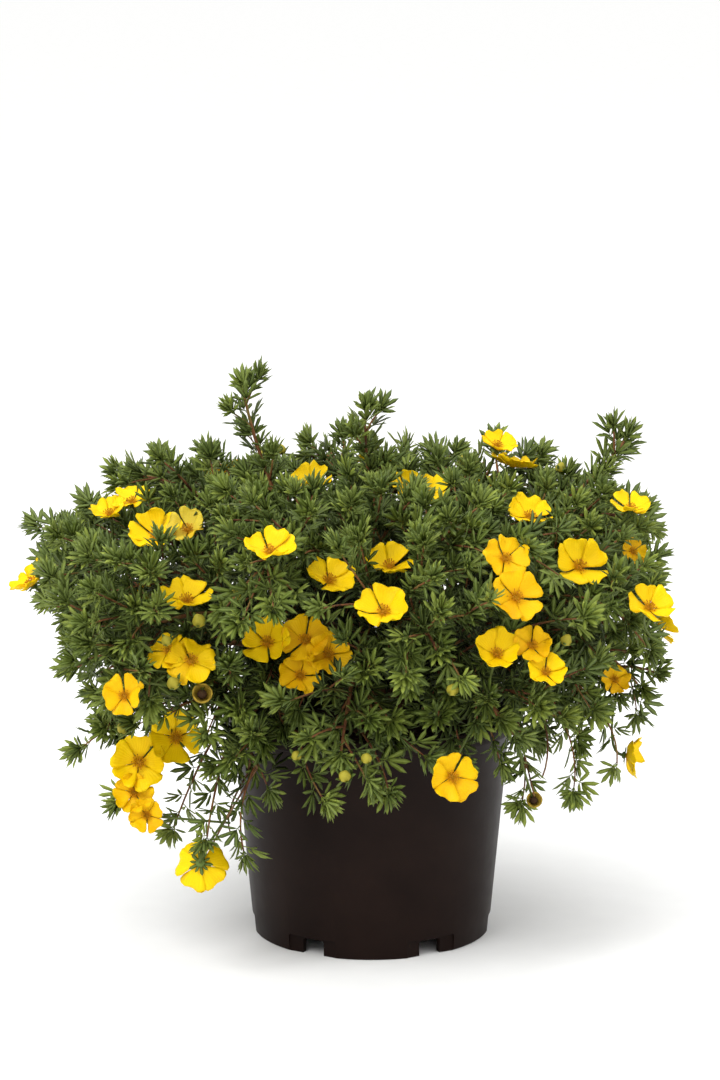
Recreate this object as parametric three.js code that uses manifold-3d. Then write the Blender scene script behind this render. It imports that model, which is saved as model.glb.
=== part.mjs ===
// Potted shrubby cinquefoil: a low mounded shrub of arching leafy sprays with yellow
// five-petalled blooms, standing in a plain tapered plastic nursery pot.
// Millimetres, +Z up, the pot's front (with the view of the drooping sprays) faces -Y.

import * as THREE from "three";
import Module from "manifold-3d";

const wasm = await Module();
wasm.setup();
const { Manifold, Mesh: SolidMesh } = wasm;

// Driving dimensions of the pot
const POT_HEIGHT = 146;
const POT_FOOT_RADIUS = 76;
const POT_NECK_RADIUS = 88;
const POT_RIM_RADIUS = 95;
const POT_INNER_FOOT_RADIUS = 74.7;
const POT_LIP_HEIGHT = 10.5;
const POT_WALL = 2.2;
const POT_LIP_WALL = 3;
const POT_LIP_SLOPE = 3;
const POT_LIP_TAPER = 1.6;
const POT_CORNER = 1;
const POT_FLOOR_UNDERSIDE = 10;
const POT_FLOOR_TOP = 13;
const POT_SKIRT_WIDTH = 6.5;
const POT_SIDES = 32;
const RECESS_COUNT = 6;
const FIRST_RECESS_BEARING = -60;
const RECESS_WIDTH = 34;
const RECESS_HEIGHT = 11.5;
const RECESS_DEPTH = 3;
const RECESS_OPENING_WIDTH = 15;
const RECESS_OPENING_HEIGHT = 9.5;

// Driving dimensions of the soil and the crown that stands in it
const SEAT_GAP = 0.3;
const SOIL_EDGE_HEIGHT = 124;
const SOIL_CENTRE_HEIGHT = 129;
const SOIL_SHOULDER_RADIUS = 52;
const CROWN_RADIUS = 13;
const CROWN_SIDES = 8;
const CROWN_HOLE_GAP = 0.4;
const CROWN_BOTTOM = 84;
const CROWN_TOP = 143;

// Driving dimensions of the leafy sprays
const LEAFLET_LENGTH = 26;
const LEAFLET_HALF_WIDTH = 4.4;
const LEAFLET_WIDEST = 0.52;
const LEAFLET_SHORTEST = 0.88;
const LEAFLET_LENGTH_SPREAD = 0.24;
const CROWN_LEAFLET_LIFT = { least: 44, spread: 18 };
const SIDE_LEAFLET_LIFT = { least: 2, spread: 14 };
const TUFT_RING_RADIUS = 2.5;
const TUFT_RING_HEIGHT = 4.2;
const TUFT_TIP_HEIGHT = 6.6;
const TUFT_SIDES = 5;
const TUFT_SMALLEST = 0.9;
const TUFT_SIZE_SPREAD = 0.2;
const STALK_RADIUS = 1.3;
const LEAF_CLEARANCE = 0.35;
const OWN_CORE_CLEARANCE = 0.05;
const STALK_LIFT = 0.9;
const TOUCH_VOLUME = 0.005;

// Driving dimensions of the mound that the leaf tufts fill
const MOUND_CENTRE = new THREE.Vector3(-14, 4, 190);
const MOUND_HALF_SIZE = new THREE.Vector3(204, 188, 100);
const MOUND_POWER = 2.5;
const TUFTS_PER_SPRAY = 4;
const TUFT_SPACING = 46;
const TUFT_DEPTH = 0.95;
const OUTER_TUFTS_FIRST = 0.6;
const TWIG_LENGTHS = { arching: [2, 12, 22, 32], tall: [1, 5] };
const TWIG_LEAN = { arching: 0.35, tall: 0.7 };

// How low the leaves hang at each bearing round the pot
const SKIRT_EDGE = [
  [-180, 132], [-150, 116], [-130, 88], [-112, 104], [-90, 92], [-62, 112], [-35, 132],
  [0, 130], [60, 122], [120, 118], [180, 132],
];

// Places looked at along a shoot, for a tuft and for a flower stalk
const PATH_SAMPLES = 12;
const PLACES_TRIED = 14;
const STALKS_TRIED = 60;

// Driving dimensions of the blooms and their stalks: each point of a petal is its share of the
// bloom's radius, its degrees from the petal's middle and its height off the bloom's dish
const FLOWER_STALK_RADIUS = 1.15;
const FLOWER_STALK_CLEARANCE = 0.28;
const FLOWER_STALK_ELBOW = 7;
const FLOWER_STALK_LEAST_RISE = 0.35;
const BLOOM_VIEW = 26;
const BLOOM_MARGIN = 5;
const BLOOM_BACK = 1.5;
const STAMENS_HEIGHT = 2.6;
const PETAL_COUNT = 5;
const PETAL_CUP = 0.2;
const PETAL_SAG = 1.6;
const PETAL_MIDDLE_SAG = 0.3;
const PETAL_NOTCH = [0.4, -36, 0.1];
const PETAL_FRONT = [0.58, 0, 1];
const PETAL_REAR = [0.58, 0, -0.7];
const PETAL_RIM = [[0.8, -31, 0.7], [1, -14, 0.5], [1, 14, -0.2], [0.8, 31, -0.9]];

// Driving dimensions of the branches
const BRANCH_ROOT_RADIUS = 3.4;
const BRANCH_TIP_RADIUS = 2.1;
const BRANCH_SIDES = 4;
const BRANCH_STEPS = 3;
const BRANCH_SEAT_GAP = 0.36;

// Fullness of the twiggy middle of a spray at shares of its length, and its sides
const CORE_OUTLINES = {
  arching: [[0, 0], [0.22, 0.8], [0.52, 1], [0.82, 0.6]],
  tall: [[0, 0.1], [0.2, 1], [0.42, 0.5], [0.64, 0], [0.84, -0.1]],
};
const CORE_SIDES = 5;
const CORE_BARE_MARGIN = 0.6;

// Ways to bend a leaflet clear of its neighbours: more lift, a turn aside and its size
const LEAF_BENDS = [
  [0, 0, 1], [14, 12, 1], [-10, -14, 0.97], [22, -16, 0.92],
  [-14, 16, 0.9], [30, 4, 0.85], [8, -24, 0.8], [8, 24, 0.8],
];

const COLOURS = {
  pot: 0x1e1513,
  soil: 0x33261c,
  wood: 0x7d5233,
  leaf: 0x45652c,
  bloom: 0xf8d20c,
};

// How each kind of spray arches: the share of its reach and the height of its two bends
const HABITS = {
  skirt: { crownHeight: 130, rise: [0.34, 222], bend: [0.8, 212], leafyFrom: 0.46, wide: 12, deep: 8 },
  side: { crownHeight: 134, rise: [0.22, 205], bend: [0.66, 262], leafyFrom: 0.43, wide: 12, deep: 8 },
  shoulder: { crownHeight: 140, rise: [0.16, 215], bend: [0.52, 284], leafyFrom: 0.33, wide: 12, deep: 8 },
};

// Arching sprays: bearing in degrees round the pot (-90 is the front), reach and tip height
const ARCHING_SPRAYS = [
  { habit: "skirt", bearing: -163, reach: 190, height: 126, sway: 6 },
  { habit: "skirt", bearing: -128, reach: 142, height: 92, sway: -4 },
  { habit: "skirt", bearing: -98, reach: 158, height: 122, sway: 5 },
  { habit: "skirt", bearing: -60, reach: 170, height: 152, sway: -5 },
  { habit: "skirt", bearing: -6, reach: 186, height: 138, sway: 5 },
  { habit: "skirt", bearing: 45, reach: 182, height: 124, sway: -6 },
  { habit: "skirt", bearing: 98, reach: 178, height: 118, sway: 6 },
  { habit: "skirt", bearing: 149, reach: 186, height: 126, sway: -5 },
  { habit: "side", bearing: 178, reach: 214, height: 232, sway: 5 },
  { habit: "side", bearing: 124, reach: 205, height: 222, sway: -6 },
  { habit: "side", bearing: 72, reach: 200, height: 218, sway: 6 },
  { habit: "side", bearing: 22, reach: 196, height: 226, sway: -5 },
  { habit: "side", bearing: -29, reach: 198, height: 210, sway: 6 },
  { habit: "side", bearing: -76, reach: 186, height: 206, sway: -6 },
  { habit: "side", bearing: -142, reach: 216, height: 196, sway: 5 },
  { habit: "shoulder", bearing: 161, reach: 168, height: 286, sway: -5 },
  { habit: "shoulder", bearing: 103, reach: 124, height: 290, sway: 5 },
  { habit: "shoulder", bearing: 46, reach: 156, height: 286, sway: -6 },
  { habit: "shoulder", bearing: -7, reach: 168, height: 272, sway: 5 },
  { habit: "shoulder", bearing: -60, reach: 128, height: 280, sway: -5 },
  { habit: "shoulder", bearing: -118, reach: 136, height: 276, sway: 6 },
];

// Tall sprays standing above the mound: bearing at the crown, two bends and the tip
const TALL_SPRAYS = [
  { bearing: 150, bends: [[-30, 12, 215], [-76, 18, 292]], tip: [-83, 20, 360] },
  { bearing: 60, bends: [[12, 18, 215], [-6, 20, 280]], tip: [-4, 18, 345] },
  { bearing: 5, bends: [[52, 16, 250], [136, 22, 262]], tip: [168, 20, 326] },
];
const TALL_HABIT = { crownHeight: 138, leafyFrom: 0.4, wide: 8, deep: 8 };

// Blooms: place across, deep and up, facing bearing and tilt up, and size; "with" joins
// blooms whose petals touch
const BLOOMS = [
  { group: "left_tip", place: [-213, -24, 230], bearing: 200, tilt: 35, radius: 14 },
  { group: "left_top_pair", place: [-165, -6, 271], bearing: -132, tilt: 60, radius: 12 },
  { group: "left_top_pair", place: [-151, -2, 278], bearing: -126, tilt: 62, radius: 12 },
  { group: "left_large_pair", place: [-134, -34, 262], bearing: -106, tilt: 44, radius: 16.7 },
  { group: "left_large_pair", place: [-114, -36, 267], bearing: -106, tilt: 44, radius: 12.6 },
  { group: "left_cup", place: [-111, -124, 241], bearing: -96, tilt: 52, radius: 14.6 },
  { group: "front_left_high", place: [-60, -163, 279], bearing: -86, tilt: 48, radius: 14.4 },
  { group: "top_edge_on", place: [-40, 52, 278], bearing: -140, tilt: 70, radius: 14.4 },
  { group: "front_middle_left", place: [-26, -118, 252], bearing: -72, tilt: 44, radius: 15 },
  { group: "front_middle_right", place: [11, -92, 255], bearing: -102, tilt: 58, radius: 15.2 },
  { group: "front_middle_large", place: [7, -156, 241], bearing: -95, tilt: 38, radius: 16 },
  { group: "top_pair", place: [34, 32, 276], bearing: -95, tilt: 50, radius: 15.6 },
  { group: "top_pair", place: [21, 38, 280], bearing: -95, tilt: 52, radius: 11 },
  { group: "right_high", place: [98, -42, 276], bearing: -79, tilt: 58, radius: 14.2 },
  { group: "highest", place: [81, 60, 303], bearing: -58, tilt: 66, radius: 11.4 },
  { group: "right_shade_pair", place: [79, -148, 272], bearing: -78, tilt: 34, radius: 13.4 },
  { group: "right_shade_pair", place: [85, -160, 251], bearing: -78, tilt: 32, radius: 15 },
  { group: "right_large", place: [126, -92, 255], bearing: -72, tilt: 36, radius: 15.8 },
  { group: "right_front", place: [167, -116, 235], bearing: -60, tilt: 36, radius: 14 },
  { group: "right_far_high", place: [160, -50, 283], bearing: -67, tilt: 50, radius: 11.8 },
  { group: "right_far_small", place: [162, -44, 255], bearing: -67, tilt: 27, radius: 8.6 },
  { group: "front_cluster", place: [-63, -116, 213], bearing: -94, tilt: 28, radius: 15 },
  { group: "front_cluster", place: [-40, -116, 215], bearing: -92, tilt: 26, radius: 14.4 },
  { group: "front_cluster", place: [-26, -120, 207], bearing: -88, tilt: 24, radius: 13.8 },
  { group: "front_cluster", place: [-43, -124, 195], bearing: -92, tilt: 25, radius: 12.4 },
  { group: "left_reflexed_pair", place: [-122, -136, 213], bearing: -92, tilt: 48, radius: 12.6 },
  { group: "left_reflexed_pair", place: [-108, -142, 208], bearing: -88, tilt: 48, radius: 15.2 },
  { group: "left_low_small", place: [-147, -154, 190], bearing: -100, tilt: 20, radius: 12.2 },
  { group: "left_low_chain", place: [-120, -88, 147], bearing: -94, tilt: 18, radius: 16.4 },
  { group: "left_low_chain", place: [-143, -90, 132], bearing: -97, tilt: 18, radius: 16.8 },
  { group: "left_low_chain", place: [-146, -95, 114], bearing: -97, tilt: 18, radius: 11.6 },
  { group: "left_low_chain", place: [-138, -100, 101], bearing: -97, tilt: 18, radius: 10.8 },
  { group: "left_hanging", place: [-104, -126, 78], bearing: 84, tilt: -28, radius: 16.4 },
  { group: "right_low_chain", place: [74, -158, 216], bearing: -80, tilt: 30, radius: 14.4 },
  { group: "right_low_chain", place: [95, -151, 220], bearing: -78, tilt: 30, radius: 11.6 },
  { group: "right_low_chain", place: [103, -158, 205], bearing: -76, tilt: 30, radius: 11.4 },
  { group: "over_the_pot", place: [48, -160, 142], bearing: -78, tilt: 8, radius: 14.6 },
  { group: "right_hanging", place: [161, -36, 122], bearing: -8, tilt: -6, radius: 13.4 },
  { group: "right_low_small", place: [151, -52, 175], bearing: -66, tilt: 22, radius: 9 },
  { group: "back_top", place: [91, 53, 291], bearing: 40, tilt: 60, radius: 14.4 },
  { group: "back_right_pair", place: [69, 156, 256], bearing: 70, tilt: 42, radius: 15 },
  { group: "back_right_pair", place: [48, 160, 259], bearing: 80, tilt: 44, radius: 13.4 },
  { group: "back_middle", place: [4, 118, 279], bearing: 86, tilt: 58, radius: 14.6 },
  { group: "back_left_pair", place: [-91, 158, 262], bearing: 118, tilt: 42, radius: 15.2 },
  { group: "back_left_pair", place: [-109, 148, 263], bearing: 122, tilt: 44, radius: 12.8 },
  { group: "back_low", place: [-17, 162, 199], bearing: 92, tilt: 22, radius: 14.6 },
  { group: "back_left_low", place: [-146, 84, 201], bearing: 150, tilt: 30, radius: 14.2 },
  { group: "back_right_low", place: [187, 68, 182], bearing: 22, tilt: 20, radius: 14 },
];

const SEED = 20240611;
const TURN = Math.PI * 2;
const radians = (degrees) => (degrees * Math.PI) / 180;
const vec = (x, y, z) => new THREE.Vector3(x, y, z);

// Seeded draws, so that the same plant grows every time
function makeRandom(seed) {
  let state = seed >>> 0;
  return () => {
    state = (Math.imul(state, 1664525) + 1013904223) >>> 0;
    return state / 4294967296;
  };
}

// A closed shell that grows by adding points and triangles, then becomes a solid
class Shell {
  constructor() {
    this.points = [];
    this.faces = [];
  }

  point(position) {
    this.points.push(position.clone());
    return this.points.length - 1;
  }

  face(a, b, c) {
    this.faces.push([a, b, c]);
  }

  // Triangles between two loops that both turn counterclockwise about the growth direction,
  // where the upper loop's corner "start" stands over the lower loop's first corner
  bridge(lower, upper, start = 0, turnOf = (loop, i) => (i + 0.5) / loop.length) {
    const made = [];
    let i = 0;
    let j = 0;
    while (i < lower.length || j < upper.length) {
      const a = lower[i % lower.length];
      const b = upper[(start + j) % upper.length];
      const lowerNext = j >= upper.length || (i < lower.length && turnOf(lower, i) <= turnOf(upper, j));
      if (lowerNext) {
        made.push({ kind: "lower", corners: [a, lower[(i + 1) % lower.length], b] });
        i += 1;
      } else {
        made.push({ kind: "upper", corners: [upper[(start + j + 1) % upper.length], b, a] });
        j += 1;
      }
    }
    return made;
  }

  // The same for loops with uneven corners, matched by their bearing round an axis
  bridgeRound(lower, upper, centre, axis) {
    const first = this.points[lower[0]].clone().sub(centre);
    first.sub(axis.clone().multiplyScalar(first.dot(axis))).normalize();
    const third = vec(0, 0, 0).crossVectors(axis, first);
    const bearing = (corner) => {
      const arm = this.points[corner].clone().sub(centre);
      return Math.atan2(arm.dot(third), arm.dot(first));
    };
    const offsets = upper.map((corner) => Math.abs(bearing(corner)));
    const start = offsets.indexOf(Math.min(...offsets));
    const unwound = (loop, begin) => loop.map((unused, i) => {
      const raw = bearing(loop[(begin + i) % loop.length]);
      return i === 0 ? raw : (raw + TURN) % TURN;
    });
    const turns = new Map([[lower, unwound(lower, 0)], [upper, unwound(upper, start)]]);
    const midTurn = (loop, i) => {
      const list = turns.get(loop);
      return (list[i] + (i + 1 < list.length ? list[i + 1] : list[0] + TURN)) / 2;
    };
    return this.bridge(lower, upper, start, midTurn);
  }

  addAll(made) {
    made.forEach(({ corners }) => this.face(...corners));
  }

  capStart(loop) {
    for (let i = 1; i < loop.length - 1; i += 1) this.face(loop[0], loop[i + 1], loop[i]);
  }

  capEnd(loop) {
    for (let i = 1; i < loop.length - 1; i += 1) this.face(loop[0], loop[i], loop[i + 1]);
  }

  solid() {
    return solidFrom(this.points, this.faces);
  }
}

function solidFrom(points, faces) {
  const mesh = new SolidMesh({
    numProp: 3,
    vertProperties: new Float32Array(points.flatMap((p) => [p.x, p.y, p.z])),
    triVerts: new Uint32Array(faces.flat()),
  });
  return new Manifold(mesh);
}

// A closed solid becomes a three.js geometry
function geometryFrom(solid) {
  const mesh = solid.getMesh();
  const geometry = new THREE.BufferGeometry();
  const positions = [];
  for (let i = 0; i < mesh.vertProperties.length; i += mesh.numProp) {
    positions.push(mesh.vertProperties[i], mesh.vertProperties[i + 1], mesh.vertProperties[i + 2]);
  }
  geometry.setAttribute("position", new THREE.Float32BufferAttribute(positions, 3));
  geometry.setIndex(Array.from(mesh.triVerts));
  geometry.computeVertexNormals();
  return geometry;
}

// The largest body of a joined solid: loose scraps go and sealed hollows are filled
function largestBody(solid) {
  return solid.decompose().reduce((best, body) => (body.volume() > best.volume() ? body : best));
}

function join(solids) {
  return largestBody(solids.reduce((whole, next) => whole.add(next)));
}

// A turned solid from a closed profile of [radius, height] pairs; a zero radius is on the axis
function turned(profile, sides) {
  const shell = new Shell();
  const loops = profile.map(([radius, height]) => {
    if (radius === 0) return [shell.point(vec(0, 0, height))];
    return Array.from({ length: sides }, (unused, i) =>
      shell.point(vec(radius * Math.cos((TURN * i) / sides), radius * Math.sin((TURN * i) / sides), height)));
  });
  const closes = profile[0][0] !== 0;
  const bands = closes ? loops.length : loops.length - 1;
  for (let k = 0; k < bands; k += 1) {
    const low = loops[k];
    const high = loops[(k + 1) % loops.length];
    for (let i = 0; i < sides; i += 1) {
      const next = (i + 1) % sides;
      if (low.length > 1) shell.face(low[i], low[next], high[high.length > 1 ? next : 0]);
      if (high.length > 1) shell.face(low[low.length > 1 ? i : 0], high[next], high[i]);
    }
  }
  return shell.solid();
}

// A six-faced block with its own place and turn about the vertical
function block(width, depth, height, centre, turn) {
  const shell = new Shell();
  const corner = (sx, sy, sz) => {
    const p = vec((sx * width) / 2, (sy * depth) / 2, (sz * height) / 2);
    p.applyAxisAngle(vec(0, 0, 1), turn).add(centre);
    return shell.point(p);
  };
  const low = [corner(-1, -1, -1), corner(1, -1, -1), corner(1, 1, -1), corner(-1, 1, -1)];
  const high = [corner(-1, -1, 1), corner(1, -1, 1), corner(1, 1, 1), corner(-1, 1, 1)];
  shell.capStart(low);
  shell.addAll(shell.bridge(low, high));
  shell.capEnd(high);
  return shell.solid();
}

function makePot() {
  const innerNeck = POT_NECK_RADIUS - POT_WALL;
  const lipBottom = POT_HEIGHT - POT_LIP_HEIGHT;
  const skirtInside = POT_FOOT_RADIUS - POT_SKIRT_WIDTH;
  const profile = [
    [0, POT_FLOOR_UNDERSIDE],
    [skirtInside, POT_FLOOR_UNDERSIDE],
    [skirtInside, 0],
    [POT_FOOT_RADIUS, 0],
    [POT_NECK_RADIUS, lipBottom - POT_CORNER],
    [POT_RIM_RADIUS, lipBottom],
    [POT_RIM_RADIUS, POT_HEIGHT - POT_CORNER],
    [POT_RIM_RADIUS - POT_CORNER, POT_HEIGHT],
    [POT_RIM_RADIUS - POT_LIP_WALL - POT_LIP_TAPER, POT_HEIGHT],
    [innerNeck, lipBottom + POT_LIP_SLOPE],
    [POT_INNER_FOOT_RADIUS, POT_FLOOR_TOP],
    [0, POT_FLOOR_TOP],
  ];
  let pot = turned(profile, POT_SIDES);
  for (let i = 0; i < RECESS_COUNT; i += 1) {
    const bearing = FIRST_RECESS_BEARING + (360 / RECESS_COUNT) * i;
    const turn = radians(bearing + 90);
    const pocket = block(RECESS_WIDTH, 4 * RECESS_DEPTH, 2 * RECESS_HEIGHT,
      polar(POT_FOOT_RADIUS + RECESS_DEPTH, bearing, 0), turn);
    const opening = block(RECESS_OPENING_WIDTH, 4 * POT_SKIRT_WIDTH, 2 * RECESS_OPENING_HEIGHT,
      polar(POT_FOOT_RADIUS, bearing, 0), turn);
    pot = pot.subtract(pocket).subtract(opening);
  }
  return largestBody(pot);
}

// The radius of the pot's inner wall at a height
function innerWallRadius(height) {
  const neckHeight = POT_HEIGHT - POT_LIP_HEIGHT + POT_LIP_SLOPE;
  const rise = (height - POT_FLOOR_TOP) / (neckHeight - POT_FLOOR_TOP);
  return POT_INNER_FOOT_RADIUS + (POT_NECK_RADIUS - POT_WALL - POT_INNER_FOOT_RADIUS) * rise;
}

function makeSoil() {
  const bottom = POT_FLOOR_TOP + SEAT_GAP;
  const filling = turned([
    [0, bottom],
    [innerWallRadius(bottom) - SEAT_GAP, bottom],
    [innerWallRadius(SOIL_EDGE_HEIGHT) - SEAT_GAP, SOIL_EDGE_HEIGHT],
    [SOIL_SHOULDER_RADIUS, SOIL_EDGE_HEIGHT + 1],
    [0, SOIL_CENTRE_HEIGHT],
  ], POT_SIDES);
  const hole = prism(CROWN_RADIUS + CROWN_HOLE_GAP, CROWN_SIDES, CROWN_BOTTOM - SEAT_GAP, CROWN_TOP);
  return largestBody(filling.subtract(hole));
}

function prism(radius, sides, bottom, top) {
  return turned([[0, bottom], [radius, bottom], [radius, top], [0, top]], sides);
}

// A smooth arch through four guide points
function arch(guides) {
  const curve = new THREE.CubicBezierCurve3(...guides);
  return {
    at: (t) => curve.getPoint(t),
    along: (t) => curve.getTangent(t),
  };
}

function polar(radius, bearing, height) {
  return vec(radius * Math.cos(radians(bearing)), radius * Math.sin(radians(bearing)), height);
}

function archingPath({ habit, bearing, reach, height, sway }) {
  const { crownHeight, rise, bend } = HABITS[habit];
  return arch([
    polar(CROWN_RADIUS * 0.55, bearing, crownHeight),
    polar(reach * rise[0], bearing + sway, rise[1]),
    polar(reach * bend[0], bearing + sway / 2, bend[1]),
    polar(reach, bearing, height),
  ]);
}

function tallPath({ bearing, bends, tip }) {
  const root = polar(CROWN_RADIUS * 0.4, bearing, TALL_HABIT.crownHeight);
  return arch([root, ...bends.map((place) => vec(...place)), vec(...tip)]);
}

// Cross directions of a shoot: "out" leans away from the middle of the plant
function crossFrame(path, t) {
  const centre = path.at(t);
  const along = path.along(t).normalize();
  const away = centre.clone().sub(vec(0, 0, 150)).normalize();
  const out = away.sub(along.clone().multiplyScalar(away.dot(along)));
  if (out.lengthSq() < 0.01) out.set(0, 0, 1).sub(along.clone().multiplyScalar(along.z));
  out.normalize();
  const side = vec(0, 0, 0).crossVectors(out, along).normalize();
  return { centre, along, out, side };
}

// One ring of a shoot, counterclockwise about its growth direction
function shootRing(shell, frame, sides, wide, deep, twist) {
  return Array.from({ length: sides }, (unused, i) => {
    const angle = twist + (TURN * i) / sides;
    const offset = frame.side.clone().multiplyScalar(-wide * Math.sin(angle))
      .add(frame.out.clone().multiplyScalar(deep * Math.cos(angle)));
    return shell.point(frame.centre.clone().add(offset));
  });
}

// Cross directions at several places along a shoot, turned no more than the shoot bends
function carriedFrames(path, first, places) {
  let { out } = crossFrame(path, first);
  return places.map((t) => {
    const centre = path.at(t);
    const along = path.along(t).normalize();
    out = out.clone().sub(along.clone().multiplyScalar(out.dot(along))).normalize();
    const side = vec(0, 0, 0).crossVectors(out, along).normalize();
    return { centre, along, out, side };
  });
}

function makeBranch(path, leafyFrom) {
  const shell = new Shell();
  const near = 0.01;
  const pace = path.at(leafyFrom).distanceTo(path.at(leafyFrom - near)) / near;
  const end = leafyFrom - BRANCH_SEAT_GAP / pace;
  const shares = Array.from({ length: BRANCH_STEPS + 1 }, (unused, i) => 1 - i / BRANCH_STEPS);
  const frames = carriedFrames(path, leafyFrom, shares.map((share) => end * share)).reverse();
  let last = null;
  frames.forEach((frame, i) => {
    const radius = BRANCH_ROOT_RADIUS + (BRANCH_TIP_RADIUS - BRANCH_ROOT_RADIUS) * (i / BRANCH_STEPS);
    const ring = shootRing(shell, frame, BRANCH_SIDES, radius, radius, 0);
    if (last) shell.addAll(shell.bridge(last, ring));
    else shell.capStart(ring);
    last = ring;
  });
  shell.capEnd(last);
  return shell.solid();
}

function makeCrown() {
  return turned([
    [0, CROWN_BOTTOM],
    [CROWN_RADIUS, CROWN_BOTTOM],
    [CROWN_RADIUS, SOIL_CENTRE_HEIGHT + 2],
    [CROWN_RADIUS * 0.8, CROWN_TOP],
    [0, CROWN_TOP + 2],
  ], CROWN_SIDES);
}

// Solids that later leaves, stalks and tufts must stay clear of
class Occupied {
  constructor() {
    this.entries = [];
  }

  add(solid, owner) {
    this.entries.push({ solid, owner, box: solid.boundingBox() });
  }

  clear(solid, usualGap, ignore, gapOf = () => usualGap) {
    const box = solid.boundingBox();
    return this.entries.every((entry) => {
      if (ignore(entry.owner)) return true;
      const gap = gapOf(entry.owner);
      for (let axis = 0; axis < 3; axis += 1) {
        if (box.min[axis] > entry.box.max[axis] + gap || entry.box.min[axis] > box.max[axis] + gap) return true;
      }
      return solid.minGap(entry.solid, gap * 2) >= gap;
    });
  }
}

// The dense twiggy middle of a spray, which its leaf tufts and flower stalks stand out of
function makeSprayCore(path, habit, kind) {
  const shell = new Shell();
  const outline = CORE_OUTLINES[kind];
  const bare = BRANCH_TIP_RADIUS + CORE_BARE_MARGIN;
  let last = null;
  const places = [...outline.map(([share]) => habit.leafyFrom + (1 - habit.leafyFrom) * share), 1];
  const frames = carriedFrames(path, habit.leafyFrom, places);
  outline.forEach(([, fullness], i) => {
    const wide = bare + (habit.wide - bare) * fullness;
    const deep = bare + (habit.deep - bare) * fullness;
    const halfStep = TURN / (2 * CORE_SIDES);
    const ring = shootRing(shell, frames[i], CORE_SIDES, wide, deep, (i % 2) * halfStep);
    if (last) shell.addAll(shell.bridge(last, ring));
    else shell.capStart(ring);
    last = ring;
  });
  const tip = frames[outline.length];
  const stalk = shootRing(shell, tip, 3, STALK_RADIUS, STALK_RADIUS, 0);
  shell.addAll(shell.bridge(last, stalk));
  const body = new Shell();
  body.points = shell.points.slice();
  body.faces = shell.faces.slice();
  body.capEnd(stalk);
  const coreFaces = shell.faces.length;
  return { shell, coreFaces, tip, stalk, body: body.solid(), used: new Set(), grafts: [], tufts: [] };
}

function faceFrame(shell, index) {
  const [a, b, c] = shell.faces[index].map((corner) => shell.points[corner]);
  const centre = a.clone().add(b).add(c).divideScalar(3);
  const normal = vec(0, 0, 0).crossVectors(b.clone().sub(a), c.clone().sub(a)).normalize();
  return { centre, normal };
}

// A small triangle standing over a face, with its corners under the face's own corners
function stalkRing(shell, corners, centre, direction, radius) {
  return corners.map((corner) => {
    const arm = shell.points[corner].clone().sub(centre);
    arm.sub(direction.clone().multiplyScalar(arm.dot(direction))).normalize();
    return shell.point(centre.clone().add(arm.multiplyScalar(radius)));
  });
}

// A leaflet: two edge points and a tip raised from one face of a tuft's hub. The face's
// third corner stays as the keel, which thickens the leaflet under its rib.
function leafletShape(a, b, keel, direction, length, halfWidth) {
  const root = a.clone().add(b).multiplyScalar(0.5);
  const across = b.clone().sub(a);
  across.sub(direction.clone().multiplyScalar(across.dot(direction))).normalize();
  const middle = root.clone().add(direction.clone().multiplyScalar(length * LEAFLET_WIDEST));
  const left = middle.clone().sub(across.clone().multiplyScalar(halfWidth));
  const right = middle.clone().add(across.clone().multiplyScalar(halfWidth));
  const tip = root.clone().add(direction.clone().multiplyScalar(length));
  return [a, b, keel, left, right, tip];
}

const LEAFLET_FACES = [[0, 1, 4], [0, 4, 3], [3, 4, 5], [4, 1, 2], [5, 4, 2], [2, 0, 3], [2, 3, 5]];

function leafletSolid(shape) {
  return solidFrom(shape, [...LEAFLET_FACES, [0, 2, 1]]);
}

// A tuft of leaflets on a short stalk over one face (or over the open end of a shoot)
function planTuftOn(shell, low, centre, axis, random) {
  const hub = new Shell();
  const across = shell.points[low[0]].clone().sub(centre);
  across.sub(axis.clone().multiplyScalar(across.dot(axis))).normalize();
  const third = vec(0, 0, 0).crossVectors(axis, across).normalize();
  const spin = random() * TURN;
  const size = TUFT_SMALLEST + TUFT_SIZE_SPREAD * random();
  const ringCentre = centre.clone().add(axis.clone().multiplyScalar(TUFT_RING_HEIGHT));
  const ring = Array.from({ length: TUFT_SIDES }, (unused, i) => {
    const angle = spin + (TURN * i) / TUFT_SIDES;
    return shell.point(ringCentre.clone()
      .add(across.clone().multiplyScalar(TUFT_RING_RADIUS * Math.cos(angle)))
      .add(third.clone().multiplyScalar(TUFT_RING_RADIUS * Math.sin(angle))));
  });
  const tip = shell.point(centre.clone().add(axis.clone().multiplyScalar(TUFT_TIP_HEIGHT)));
  const band = shell.bridgeRound(low, ring, centre, axis);
  const crown = ring.map((corner, i) => (
    { kind: "crown", corners: [corner, ring[(i + 1) % TUFT_SIDES], tip] }));
  const leaflets = [...crown, ...band.filter(({ kind }) => kind === "upper")].map((face) => ({
    face, upper: face.kind === "crown", lift: random(), reach: random(), size,
  }));
  hub.points = shell.points;
  hub.faces = [...band, ...crown].map(({ corners }) => corners);
  for (let i = 1; i < low.length - 1; i += 1) hub.faces.push([low[0], low[i + 1], low[i]]);
  return { low, band, crown, leaflets, axis, ringCentre, hub: compactSolid(hub) };
}

// A solid from only those points that its faces use
function compactSolid(shell) {
  const kept = new Map();
  const points = [];
  const faces = shell.faces.map((face) => face.map((corner) => {
    if (!kept.has(corner)) {
      kept.set(corner, points.length);
      points.push(shell.points[corner]);
    }
    return kept.get(corner);
  }));
  return solidFrom(points, faces);
}

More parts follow.
